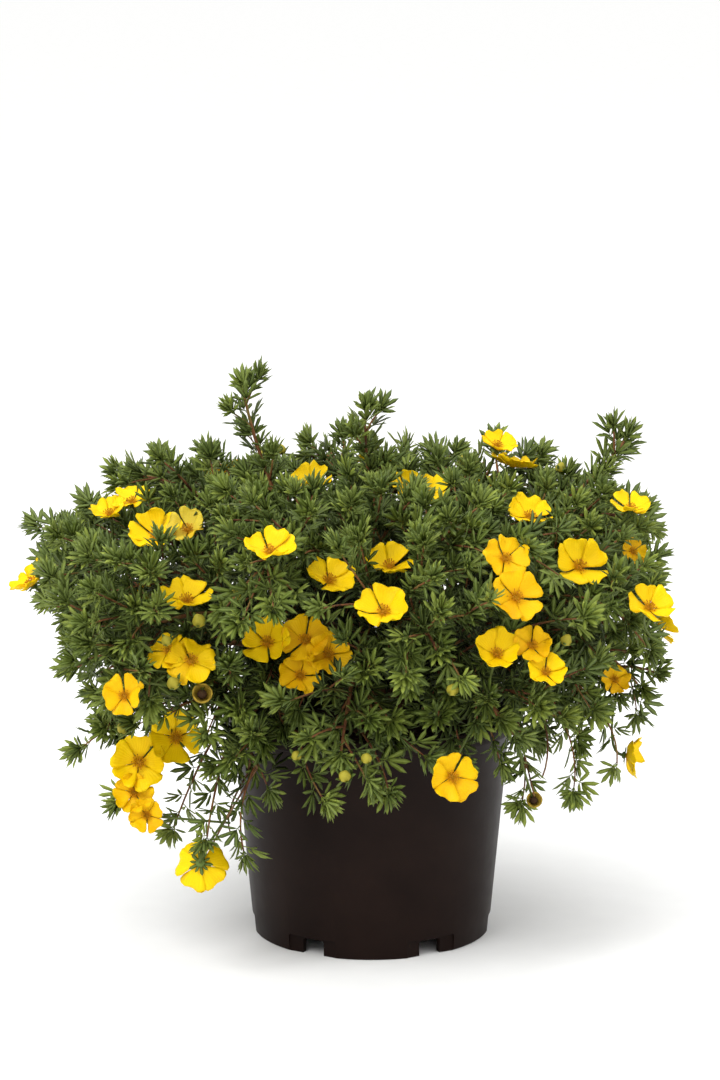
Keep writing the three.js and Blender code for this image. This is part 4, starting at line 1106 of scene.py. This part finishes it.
BUD_RIDGE = 0.08
BUD_PINCH = 0.35
BUD_TIP_STRETCH = 1.25
BUD_FOOT_SQUASH = 0.9
BUD_TINT = 0.95
BUD_SEPAL_SIZE = 1 / 4.4
BUD_SEPAL_LIFT = 52
BUD_WAY_SHARES = (0.6, 0.8)
CUP_CUT = 0.1
CUP_RAGGEDNESS = 1.0
CUP_WALL = 0.8
SEEDS_SIZE = 0.5
SEEDS_DROP = 0.35
FRONT_CUP_WAY = Vector((0.1, -0.8, 0.5))
BACK_CUP_WAY = Vector((0, 0.9, 0.4))
BUD_STALK_RADII = (0.7, 0.8)
BUD_STALK_BOW = 0.05
BUD_STALK_STEPS = 5
BUD_STALK_SEAT = 0.8
BUD_ROOT_BACK = 16
BARE_ROOT_RISE = 14
BARE_BOW = 0.02
BARE_ROOT_STEPS = 3
BARE_STEPS = 6
BARE_RADII = (0.9, 0.5)


def make_bud(radius):
    """A closed bud: an oval with a pinched tip and five ridges."""
    bm = new_shape()
    bmesh.ops.create_uvsphere(bm, u_segments=15, v_segments=9, radius=radius, calc_uvs=True)
    for vert in bm.verts:
        height = vert.co.z / radius
        bearing = math.atan2(vert.co.y, vert.co.x)
        ridge = 1 + BUD_RIDGE * math.cos(PETAL_COUNT * bearing) * (1 - height * height)
        pinch = 1 - BUD_PINCH * max(0.0, height)
        vert.co.x *= ridge * pinch
        vert.co.y *= ridge * pinch
        vert.co.z *= BUD_TIP_STRETCH if height > 0 else BUD_FOOT_SQUASH
    return bm


def make_spent_cup(radius):
    """A dry calyx whose petals have fallen: a shallow bowl with a ragged rim."""
    bm = new_shape()
    bmesh.ops.create_uvsphere(bm, u_segments=15, v_segments=10, radius=radius, calc_uvs=True)
    cut = bmesh.ops.bisect_plane(
        bm, geom=bm.verts[:] + bm.edges[:] + bm.faces[:], plane_co=(0, 0, radius * CUP_CUT),
        plane_no=(0, 0, 1), clear_outer=True,
    )
    for item in cut["geom_cut"]:
        if isinstance(item, bmesh.types.BMVert):
            bearing = math.atan2(item.co.y, item.co.x)
            item.co.z += CUP_RAGGEDNESS * math.cos(PETAL_COUNT * bearing)
    bmesh.ops.solidify(bm, geom=bm.faces[:], thickness=CUP_WALL)
    bmesh.ops.recalc_face_normals(bm, faces=bm.faces)
    return bm


def add_bud(buds, radius, aim):
    """A bud with five sepals held against it."""
    add_part(buds, make_bud(radius), aim, BUD_TINT)
    for k in range(PETAL_COUNT):
        turn = Matrix.Rotation(math.tau / PETAL_COUNT * k, 4, "Z")
        foot = Matrix.Translation((radius / 2, 0, -radius))
        lift = Matrix.Rotation(-math.radians(BUD_SEPAL_LIFT), 4, "Y")
        add_part(buds, make_sepal(radius * BUD_SEPAL_SIZE), aim @ turn @ foot @ lift, GREEN_TINT)


def add_spent_cup(cups, radius, aim):
    """A spent cup with the dark dome of its seeds."""
    add_part(cups, make_spent_cup(radius), aim, 1.0)
    seeds = new_shape()
    bmesh.ops.create_icosphere(seeds, subdivisions=2, radius=radius * SEEDS_SIZE, calc_uvs=True)
    add_part(cups, seeds, aim @ Matrix.Translation((0, 0, -radius * SEEDS_DROP)), 0.0)


def bud_way(centre):
    """A bud looks outward from the mound and up."""
    outward, up = BUD_WAY_SHARES
    return ((centre - MOUND_CENTRE).normalized() * outward + UP * up).normalized()


def cup_way(centre):
    return (FRONT_CUP_WAY if centre.y < 0 else BACK_CUP_WAY).normalized()


def make_buds(materials, plant):
    """Buds, spent cups and their stalks, and the thin bare twigs below the mound."""
    tree, places = nearest_stems(plant)
    buds, cups, bare = new_shape(), new_shape(), new_shape()
    kinds = ((BUDS, buds, add_bud, bud_way), (SPENT_CUPS, cups, add_spent_cup, cup_way))
    stalks = []

    def root_near(place):
        return places[tree.find(place)[1]][0]

    for rows, shape, add_one, way_of in kinds:
        for place, radius in rows:
            centre = Vector(place)
            way = way_of(centre)
            add_one(shape, radius, aimed(centre, way))
            root = root_near(centre - way * BUD_ROOT_BACK)
            seat = centre - way * radius * BUD_STALK_SEAT
            line = curved(root, seat, BUD_STALK_BOW, BUD_STALK_STEPS)
            stalks.append((line, tapered(line, *BUD_STALK_RADII)))
    add_stems(buds, stalks)
    for guides in HANGING_TWIGS:
        start, middle, end = [Vector(place) for place in guides]
        hung_from = curved(root_near(start + UP * BARE_ROOT_RISE), start, BARE_BOW, BARE_ROOT_STEPS)
        points = hung_from[:-1] + arc(start, middle, end, BARE_STEPS)
        add_stems(bare, [(points, tapered(points, *BARE_RADII))])
    finish_piece("green_buds", buds, materials["bud"])
    finish_piece("spent_cups", cups, materials["spent"])
    finish_piece("hanging_twigs", bare, materials["bark"])


# The pot, the soil and the woody stems

SKIRT_INNER_RADIUS = POT_FOOT_RADIUS - POT_SKIRT_WIDTH
INNER_FOOT_RADIUS = POT_FOOT_RADIUS - POT_WALL + 0.9
INNER_NECK_RADIUS = POT_NECK_RADIUS - POT_WALL
INNER_NECK_HEIGHT = 138.5
RECESS_ROUNDING = 1.1
RECESS_OVERLAP = 2
RIM_CREASE = 32

# The pot's section, radius and height: under its floor, round its skirt, up the wall, over the rim and down
POT_OUTLINE = [
    (0, POT_FLOOR_UNDERSIDE), (SKIRT_INNER_RADIUS - 1, POT_FLOOR_UNDERSIDE),
    (SKIRT_INNER_RADIUS, POT_FLOOR_UNDERSIDE - 1), (SKIRT_INNER_RADIUS, 0.5), (SKIRT_INNER_RADIUS + 0.5, 0),
    (POT_FOOT_RADIUS - 1.2, 0), (POT_FOOT_RADIUS - 0.3, 0.4), (POT_FOOT_RADIUS, 1.3),
    (POT_FOOT_RADIUS + 4.7, 52), (POT_FOOT_RADIUS + 9.2, 100), (POT_NECK_RADIUS - 0.2, 133),
    (POT_NECK_RADIUS + 0.5, 134.6), (POT_RIM_RADIUS - 1.4, 135.5), (POT_RIM_RADIUS - 0.4, 135.9),
    (POT_RIM_RADIUS, 136.8), (POT_RIM_RADIUS, 144.6), (POT_RIM_RADIUS - 0.4, 145.6),
    (POT_RIM_RADIUS - 1.3, POT_HEIGHT), (POT_RIM_RADIUS - 3.8, POT_HEIGHT), (POT_RIM_RADIUS - 4.8, 145.5),
    (INNER_NECK_RADIUS, INNER_NECK_HEIGHT), (INNER_NECK_RADIUS - 0.4, 134),
    (INNER_FOOT_RADIUS, POT_FLOOR_TOP), (0, POT_FLOOR_TOP),
]

SOIL_WALL_GAP = 0.6
SOIL_FOOT_GAP = 0.5
SOIL_RINGS = 22
SOIL_SIDES = 72
# Lumps and crumbs of the compost: how many to a millimetre, and how high
LUMPS = 0.16
LUMP_HEIGHT = 1.6
CRUMBS_TO_A_LUMP = 2.7
CRUMB_HEIGHT = 1.2

# The crown's section, as shares of its radius, and heights
CROWN_OUTLINE = [
    (0, 86), (0.9, 86), (0.95, 122), (0.86, 131), (0.8, 138), (0.6, CROWN_TOP), (0, CROWN_TOP + 1.5),
]
CROWN_SIDES = 20
CROWN_LONGEST_EDGE = 12
CROWN_SWELLING = 0.16
CROWN_KNOBS = 0.12
STEM_STEPS = 12
STEM_OVERLAP = 1.02
STEM_WOBBLE = 0.5
STEM_THINNEST = 1.7


def spun(outline, steps):
    """A turned shape from a list of radius and height pairs, closed on itself or on the axis."""
    bm = bmesh.new()
    verts = [bm.verts.new((radius, 0, height)) for radius, height in outline]
    edges = [bm.edges.new((a, b)) for a, b in zip(verts, verts[1:])]
    bmesh.ops.spin(
        bm, geom=verts + edges, cent=(0, 0, 0), axis=(0, 0, 1), angle=math.tau, steps=steps, use_merge=True
    )
    bmesh.ops.remove_doubles(bm, verts=bm.verts, dist=MERGE_GAP)
    bmesh.ops.recalc_face_normals(bm, faces=bm.faces)
    return bm


def rounded_block(size):
    bm = bmesh.new()
    bmesh.ops.create_cube(bm, size=1.0)
    bmesh.ops.scale(bm, vec=size, verts=bm.verts)
    bmesh.ops.bevel(
        bm, geom=bm.edges[:], offset=RECESS_ROUNDING, segments=3, profile=0.5, affect="EDGES", material=-1
    )
    return bm


def recess_cutters():
    """The six shallow pockets in the standing ring, each with an opening through it."""
    bm = bmesh.new()
    width, height, depth = RECESS_SIZE
    open_width, open_height = OPENING_SIZE
    pocket = (width, (depth + RECESS_OVERLAP) * 2, height * 2)
    opening = (open_width, POT_SKIRT_WIDTH * 4, open_height * 2)
    for i in range(RECESS_COUNT):
        bearing = FIRST_RECESS_BEARING + 360 / RECESS_COUNT * i
        turn = Matrix.Rotation(math.radians(bearing + 90), 4, "Z")
        for size, overlap in ((pocket, RECESS_OVERLAP), (opening, -RECESS_OVERLAP)):
            move = Matrix.Translation(polar(POT_FOOT_RADIUS + overlap, bearing, 0)) @ turn
            join_shape(bm, rounded_block(size), move)
    return bm


def cut_away(body, cutter):
    """The body without the cutter, as a new shape."""
    holders = []
    for name, bm in (("body", body), ("cutter", cutter)):
        holder = bpy.data.objects.new(name, mesh_of(bm, name))
        bpy.context.scene.collection.objects.link(holder)
        holders.append(holder)
    cut = holders[0].modifiers.new("recesses", "BOOLEAN")
    cut.operation = "DIFFERENCE"
    cut.object = holders[1]
    cut.solver = "EXACT"
    cut.use_self = True
    depsgraph = bpy.context.evaluated_depsgraph_get()
    mesh = bpy.data.meshes.new_from_object(holders[0].evaluated_get(depsgraph))
    bm = bmesh.new()
    bm.from_mesh(mesh)
    for holder in holders:
        bpy.data.objects.remove(holder)
    bpy.data.meshes.remove(mesh)
    return bm


def make_pot(materials):
    pot = cut_away(spun(POT_OUTLINE, POT_SIDES), recess_cutters())
    finish_piece("moulded_pot", pot, materials["pot"], ("pot",), crease=RIM_CREASE)


def inner_wall(height):
    """The radius of the pot's inner wall at a height."""
    share = (height - POT_FLOOR_TOP) / (INNER_NECK_HEIGHT - POT_FLOOR_TOP)
    return INNER_FOOT_RADIUS + (INNER_NECK_RADIUS - INNER_FOOT_RADIUS) * share


def make_soil(materials):
    """Compost with a crumbly top, just under the rim."""
    bottom = POT_FLOOR_TOP + SOIL_SEAT_GAP
    edge = inner_wall(SOIL_EDGE_HEIGHT) - SOIL_WALL_GAP
    outline = [(0, bottom), (inner_wall(bottom) - SOIL_FOOT_GAP, bottom)]
    for i in range(SOIL_RINGS + 1):
        inward = i / SOIL_RINGS
        rise = (SOIL_CENTRE_HEIGHT - SOIL_EDGE_HEIGHT) * inward
        outline.append((edge * (1 - inward), SOIL_EDGE_HEIGHT + rise))
    bm = spun(outline, SOIL_SIDES)
    for vert in bm.verts:
        if vert.co.z > SOIL_EDGE_HEIGHT + MERGE_GAP:
            place = vert.co * LUMPS
            lump = LUMP_HEIGHT * noise.noise(place)
            vert.co.z += lump + CRUMB_HEIGHT * noise.noise(place * CRUMBS_TO_A_LUMP)
    finish_piece("compost", bm, materials["soil"], ("soil",))


def make_woody_stems(materials):
    """The crown and the bare lower lengths of the main branches."""
    bm = spun([(CROWN_RADIUS * share, height) for share, height in CROWN_OUTLINE], CROWN_SIDES)
    long_edges = [edge for edge in bm.edges if edge.calc_length() > CROWN_LONGEST_EDGE]
    bmesh.ops.subdivide_edges(bm, edges=long_edges, cuts=2, use_grid_fill=True)
    for vert in bm.verts:
        swell = 1 + CROWN_SWELLING * noise.noise(vert.co * CROWN_KNOBS)
        vert.co.x *= swell
        vert.co.y *= swell
    lines = []
    for guides, leafy_from, _ in SHOOTS:
        steps = [leafy_from * STEM_OVERLAP * i / STEM_STEPS for i in range(STEM_STEPS + 1)]
        points = [bezier(guides, step) + any_way() * STEM_WOBBLE for step in steps]
        lines.append((points, [max(radius, STEM_THINNEST) for radius in tapered(points, *STEM_RADII)]))
    add_stems(bm, lines, sides=8)
    finish_piece("woody_stems_bark", bm, materials["bark"], ("woody_stems",))


def make_foliage(materials):
    """The leaves and green twigs of every spray."""
    plant = Plant(len(SHOOTS))
    grow_sprays(plant)
    grow_droops(plant)
    fill_mound(plant)
    fill_inside(plant)
    outer_leaf = Stamp(make_leaf(LEAFLET_FANS), "leaf")
    inner_leaf = Stamp(make_leaf(INNER_FANS), "inner_leaf")
    for spray in range(len(SHOOTS)):
        name = f"spray_{spray + 1:02d}"
        leaves = new_shape()
        for matrix, tint in plant.leaves[spray]:
            outer_leaf.press(leaves, matrix, tint)
        for matrix, tint in plant.inner[spray]:
            inner_leaf.press(leaves, matrix, tint)
        finish_piece(f"leaves_{name}", leaves, materials["leaf"], (name,))
        twigs = bmesh.new()
        add_stems(twigs, plant.twigs[spray], sides=4)
        finish_piece(f"twigs_{name}", twigs, materials["twig"])
    return plant


# Materials

def waves(size_mm):
    """The scale of a pattern whose marks are this far apart."""
    return 1.0 / (size_mm * MM)


def add_node(tree, kind, settings=None, inputs=None, stops=(), output=0):
    """Adds a node with its settings and colour stops, sets or links its inputs, and gives an output."""
    node = tree.nodes.new("ShaderNode" + kind)
    for name, value in (settings or {}).items():
        setattr(node, name, value)
    sockets = {socket.identifier: socket for socket in node.inputs}
    for name, value in (inputs or {}).items():
        if isinstance(value, bpy.types.NodeSocket):
            tree.links.new(value, sockets[name])
        else:
            sockets[name].default_value = value
    for i, (place, hex_code) in enumerate(stops):
        if i >= len(node.color_ramp.elements):
            node.color_ramp.elements.new(place)
        node.color_ramp.elements[i].position = place
        node.color_ramp.elements[i].color = colour(hex_code)
    return node.outputs[output]


def new_material(name):
    material = bpy.data.materials.new(name)
    material.use_nodes = True
    material.node_tree.nodes.clear()
    return material, material.node_tree


def add_surface(tree, inputs):
    """Ends a material with its shader."""
    surface = add_node(tree, "BsdfPrincipled", inputs=inputs)
    end = tree.nodes.new("ShaderNodeOutputMaterial")
    tree.links.new(surface, end.inputs["Surface"])


def pot_plastic():
    """Injection-moulded polypropylene: dark brown and satin, so it shows soft window glints."""
    material, tree = new_material("satin_polypropylene")
    place = add_node(tree, "TexCoord", output="Object")
    cloud = add_node(tree, "TexNoise", inputs={"Vector": place, "Scale": waves(36), "Detail": 3.0})
    base = add_node(tree, "ValToRGB", inputs={"Fac": cloud}, stops=[(0.3, "#150b08"), (0.7, "#1c110d")])
    scuffs = add_node(tree, "TexNoise", inputs={"Vector": place, "Scale": waves(11), "Detail": 4.0})
    rough = add_node(tree, "MapRange", inputs={"Value": scuffs, "To Min": 0.34, "To Max": 0.5})
    # The real orange peel is under a millimetre and too fine to show, so it is drawn coarser
    peel = add_node(tree, "TexNoise", inputs={"Vector": place, "Scale": waves(2.2), "Detail": 1.0})
    bump = add_node(tree, "Bump", inputs={"Height": peel, "Distance": 0.05 * MM, "Strength": 0.5})
    add_surface(tree, {"Base Color": base, "Roughness": rough, "Specular IOR Level": 0.07, "Normal": bump})
    return material


def compost():
    """Peat and bark compost: dark brown crumbs about 2 mm across."""
    material, tree = new_material("peat_compost")
    place = add_node(tree, "TexCoord", output="Object")
    crumbs = add_node(tree, "TexNoise", inputs={"Vector": place, "Scale": waves(2.4), "Detail": 4.0})
    stops = [(0.25, "#1b120c"), (0.5, "#33241a"), (0.75, "#5a4330")]
    base = add_node(tree, "ValToRGB", inputs={"Fac": crumbs}, stops=stops)
    bump = add_node(tree, "Bump", inputs={"Height": crumbs, "Distance": 1.2 * MM})
    add_surface(tree, {"Base Color": base, "Roughness": 0.95, "Specular IOR Level": 0.2, "Normal": bump})
    return material


def bark(name, dark, middle, light):
    """Thin peeling bark: fibres 2 mm apart, drawn out along the mostly upright stems."""
    material, tree = new_material(name)
    place = add_node(tree, "TexCoord", output="Object")
    drawn = add_node(tree, "Mapping", inputs={"Vector": place, "Scale": (1.0, 1.0, 0.3)})
    fibres = add_node(tree, "TexNoise", inputs={"Vector": drawn, "Scale": waves(2), "Detail": 3.0})
    patches = add_node(tree, "TexNoise", inputs={"Vector": place, "Scale": waves(17), "Detail": 2.0})
    both = add_node(tree, "Math", {"operation": "ADD"}, {"Value": fibres, "Value_001": patches})
    mean = add_node(tree, "Math", {"operation": "MULTIPLY"}, {"Value": both, "Value_001": 0.5})
    stops = [(0.35, dark), (0.5, middle), (0.66, light)]
    base = add_node(tree, "ValToRGB", inputs={"Fac": mean}, stops=stops)
    bump = add_node(tree, "Bump", inputs={"Height": fibres, "Distance": 0.3 * MM})
    add_surface(tree, {"Base Color": base, "Roughness": 0.75, "Specular IOR Level": 0.3, "Normal": bump})
    return material


LEAF_RIB = 0.5
LEAF_MARGIN = 0.3
# The darkest greens are painted shade for leaves deep in the mound; the brightest are young leaves and
# painted light at its surface
LEAF_GREENS_WITH_PAINTED_SHADE = [
    (0.0, "#060a02"), (0.3, "#182208"), (0.55, "#313e12"), (0.78, "#4e5e1e"), (1.0, "#86933a"),
]


def leaf_skin():
    """Small matt leaves: deep green with a paler rib and margin, silky and greyer beneath, and painted
    darker deep in the mound as shade.
    """
    material, tree = new_material("silky_leaf")
    uv_map = add_node(tree, "TexCoord", output="UV")
    along = add_node(tree, "SeparateXYZ", inputs={"Vector": uv_map}, output="X")
    across = add_node(tree, "SeparateXYZ", inputs={"Vector": uv_map}, output="Y")
    # The tint is lowest deep in the mound, so those leaves get painted shade
    tint = add_node(tree, "Attribute", {"attribute_name": "tint"}, output="Fac")
    by_tint = add_node(tree, "ValToRGB", inputs={"Fac": tint}, stops=LEAF_GREENS_WITH_PAINTED_SHADE)
    off_middle = add_node(tree, "Math", {"operation": "SUBTRACT"}, {"Value": across, "Value_001": 0.5})
    off_rib = add_node(tree, "Math", {"operation": "ABSOLUTE"}, {"Value": off_middle})
    width = 2 * LEAFLET_HALF_WIDTH
    rib = add_node(tree, "MapRange", inputs={
        "Value": off_rib, "From Min": 0.2 * LEAF_RIB / width, "From Max": LEAF_RIB / width,
        "To Min": 0.5, "To Max": 0.0,
    })
    margin = add_node(tree, "MapRange", inputs={
        "Value": off_rib, "From Min": 0.5 - LEAF_MARGIN / width, "From Max": 0.5,
        "To Min": 0.0, "To Max": 0.35,
    })
    pale = add_node(tree, "Math", {"operation": "MAXIMUM"}, {"Value": rib, "Value_001": margin})
    lined = add_node(tree, "MixRGB", inputs={"Fac": pale, "Color1": by_tint, "Color2": colour("#7f8c46")})
    last = UNDERSIDE_SHIFT / 2 + 0.5
    beneath = add_node(tree, "Math", {"operation": "GREATER_THAN"}, {"Value": along, "Value_001": last})
    silk = add_node(tree, "Math", {"operation": "MULTIPLY"}, {"Value": beneath, "Value_001": 0.45})
    sided = add_node(tree, "MixRGB", inputs={"Fac": silk, "Color1": lined, "Color2": colour("#59683a")})
    place = add_node(tree, "TexCoord", output="Object")
    mottle = add_node(tree, "TexNoise", inputs={"Vector": place, "Scale": waves(3.5), "Detail": 2.0})
    bump = add_node(tree, "Bump", inputs={"Height": mottle, "Distance": 0.2 * MM})
    add_surface(tree, {"Base Color": sided, "Roughness": 0.5, "Specular IOR Level": 0.22, "Normal": bump})
    return material


PETAL_WIDTH = 17.0
PETAL_VEIN_GAP = 1.7
WAVE_LENGTH = math.tau / 20
PETAL_COLOURS = [
    (0.0, "#c9b43a"), (0.2, "#d0a812"), (0.45, "#dba303"), (0.7, "#e6b902"), (1.0, "#eec802"),
]


def petal_skin():
    """Waxy petals: clear yellow, deeper and more orange at the claw and with age."""
    material, tree = new_material("waxy_petal")
    uv_map = add_node(tree, "TexCoord", output="UV")
    along = add_node(tree, "SeparateXYZ", inputs={"Vector": uv_map}, output="X")
    tint = add_node(tree, "Attribute", {"attribute_name": "tint"}, output="Fac")
    by_tint = add_node(tree, "ValToRGB", inputs={"Fac": tint}, stops=PETAL_COLOURS)
    claw = add_node(tree, "MapRange", inputs={
        "Value": along, "From Min": 0.0, "From Max": 0.3, "To Min": 0.7, "To Max": 0.0,
    })
    based = add_node(tree, "MixRGB", inputs={"Fac": claw, "Color1": by_tint, "Color2": colour("#b96f05")})
    # The real veins are hair-fine, so they are drawn wider to show
    scale = WAVE_LENGTH * PETAL_WIDTH / PETAL_VEIN_GAP
    across = {"Vector": uv_map, "Scale": scale, "Distortion": 1.5}
    veins = add_node(tree, "TexWave", {"bands_direction": "Y"}, across, output="Fac")
    faint = add_node(tree, "Math", {"operation": "MULTIPLY"}, {"Value": veins, "Value_001": 0.08})
    lined = add_node(tree, "MixRGB", inputs={"Fac": faint, "Color1": based, "Color2": colour("#b98203")})
    bump = add_node(tree, "Bump", inputs={"Height": veins, "Distance": 0.05 * MM})
    add_surface(tree, {
        "Base Color": lined, "Roughness": 0.55, "Specular IOR Level": 0.12, "Normal": bump,
        "Subsurface Weight": 0.2, "Subsurface Radius": (1.0, 0.7, 0.1), "Subsurface Scale": 2 * MM,
    })
    return material


def speckled_skin(name, roughness, grain_mm, stops, speck, share):
    """A skin whose colour goes by the tint and is broken up by specks."""
    material, tree = new_material(name)
    place = add_node(tree, "TexCoord", output="Object")
    tint = add_node(tree, "Attribute", {"attribute_name": "tint"}, output="Fac")
    base = add_node(tree, "ValToRGB", inputs={"Fac": tint}, stops=stops)
    grain = add_node(tree, "TexNoise", inputs={"Vector": place, "Scale": waves(grain_mm), "Detail": 3.0})
    some = add_node(tree, "Math", {"operation": "MULTIPLY"}, {"Value": grain, "Value_001": share})
    specked = add_node(tree, "MixRGB", inputs={"Fac": some, "Color1": base, "Color2": colour(speck)})
    bump = add_node(tree, "Bump", inputs={"Height": grain, "Distance": 0.2 * MM})
    add_surface(tree, {
        "Base Color": specked, "Roughness": roughness, "Specular IOR Level": 0.25, "Normal": bump,
    })
    return material


def stamen_skin():
    """Pollen-dusted stamens: golden threads with orange-brown heads."""
    stops = [(0.1, "#ac7f0c"), (0.5, "#cf9d0a"), (0.95, "#b9780c")]
    return speckled_skin("pollen_stamen", 0.8, 1.1, stops, "#8a4d08", 0.35)


def bud_skin():
    """Downy buds, calyxes and flower stalks: yellow green."""
    stops = [(0.0, "#4c5824"), (0.75, "#586c2c"), (1.0, "#b3a22c")]
    return speckled_skin("downy_bud", 0.65, 2.8, stops, "#475020", 0.45)


def spent_skin():
    """Dry papery calyx: tan, darker in blotches."""
    stops = [(0.0, "#1c0f06"), (1.0, "#b0952f")]
    return speckled_skin("dry_calyx", 0.85, 2.0, stops, "#4a2f10", 0.7)


def make_materials():
    return {
        "pot": pot_plastic(),
        "soil": compost(),
        "bark": bark("peeling_bark", "#3b2517", "#69462c", "#957652"),
        "twig": bark("young_twig", "#45291a", "#734526", "#7c6a33"),
        "leaf": leaf_skin(),
        "petal": petal_skin(),
        "stamen": stamen_skin(),
        "bud": bud_skin(),
        "spent": spent_skin(),
    }


# The studio

CAMERA_PLACE = Vector((0.0, -2290.0, 718.0))
CAMERA_PITCH = 11.47
FOCAL_PIXELS = 3692.0
PICTURE_SIZE = (720, 1080)
AXIS_PIXEL = 371.5
SENSOR_MM = 36.0
FAR_CLIP = 100.0
FLOOR_RADIUS = 40.0
LAMP_AIM = Vector((0.0, 0.0, 0.19))
ROOM_BRIGHTNESS = 1.08
# Lamps: name, place and width in metres, and power in watts
LAMPS = [
    ("key_window", (-1.3, -1.5, 2.1), 1.3, 52),
    ("right_window", (1.9, -0.9, 0.9), 1.2, 8),
    ("top_window", (0.3, 0.3, 2.4), 1.4, 18),
]


def paper():
    """Matt white paper, slightly cloudy."""
    material, tree = new_material("white_paper")
    place = add_node(tree, "TexCoord", output="Object")
    cloud = add_node(tree, "TexNoise", inputs={"Vector": place, "Scale": waves(25), "Detail": 2.0})
    base = add_node(tree, "ValToRGB", inputs={"Fac": cloud}, stops=[(0.0, "#f3f3f2"), (1.0, "#f8f8f7")])
    add_surface(tree, {"Base Color": base, "Roughness": 0.9, "Specular IOR Level": 0.1})
    return material


def make_floor():
    bm = bmesh.new()
    bmesh.ops.create_circle(bm, cap_ends=True, segments=96, radius=FLOOR_RADIUS)
    floor = link_piece("floor", mesh_of(bm, "floor"), paper())


def add_light(name, place, size, power):
    """A soft square lamp that looks at the middle of the plant."""
    lamp = bpy.data.lights.new(name, "AREA")
    lamp.shape = "SQUARE"
    lamp.size = size
    lamp.energy = power
    holder = bpy.data.objects.new(name, lamp)
    holder.location = Vector(place) + POT_AXIS
    aim = LAMP_AIM + POT_AXIS - holder.location
    holder.rotation_euler = aim.to_track_quat("-Z", "Y").to_euler()
    bpy.context.scene.collection.objects.link(holder)


def make_studio():
    world = bpy.data.worlds.new("white_room")
    world.use_nodes = True
    background = world.node_tree.nodes["Background"]
    background.inputs["Color"].default_value = colour("#ffffff")
    background.inputs["Strength"].default_value = ROOM_BRIGHTNESS
    bpy.context.scene.world = world
    bpy.context.scene.view_settings.view_transform = "Standard"
    for lamp in LAMPS:
        add_light(*lamp)
    make_floor()


def make_camera():
    data = bpy.data.cameras.new("studio_camera")
    data.sensor_width = SENSOR_MM
    data.lens = FOCAL_PIXELS / PICTURE_SIZE[1] * SENSOR_MM
    data.shift_x = -(AXIS_PIXEL - PICTURE_SIZE[0] / 2) / PICTURE_SIZE[1]
    data.clip_end = FAR_CLIP
    camera = bpy.data.objects.new("studio_camera", data)
    camera.location = CAMERA_PLACE * MM + POT_AXIS
    camera.rotation_euler = (math.radians(90 - CAMERA_PITCH), 0, 0)
    bpy.context.scene.collection.objects.link(camera)
    bpy.context.scene.camera = camera


def build():
    make_camera()
    make_studio()
    materials = make_materials()
    make_pot(materials)
    make_soil(materials)
    make_woody_stems(materials)
    plant = make_foliage(materials)
    make_blooms(materials, plant)
    make_buds(materials, plant)


build()
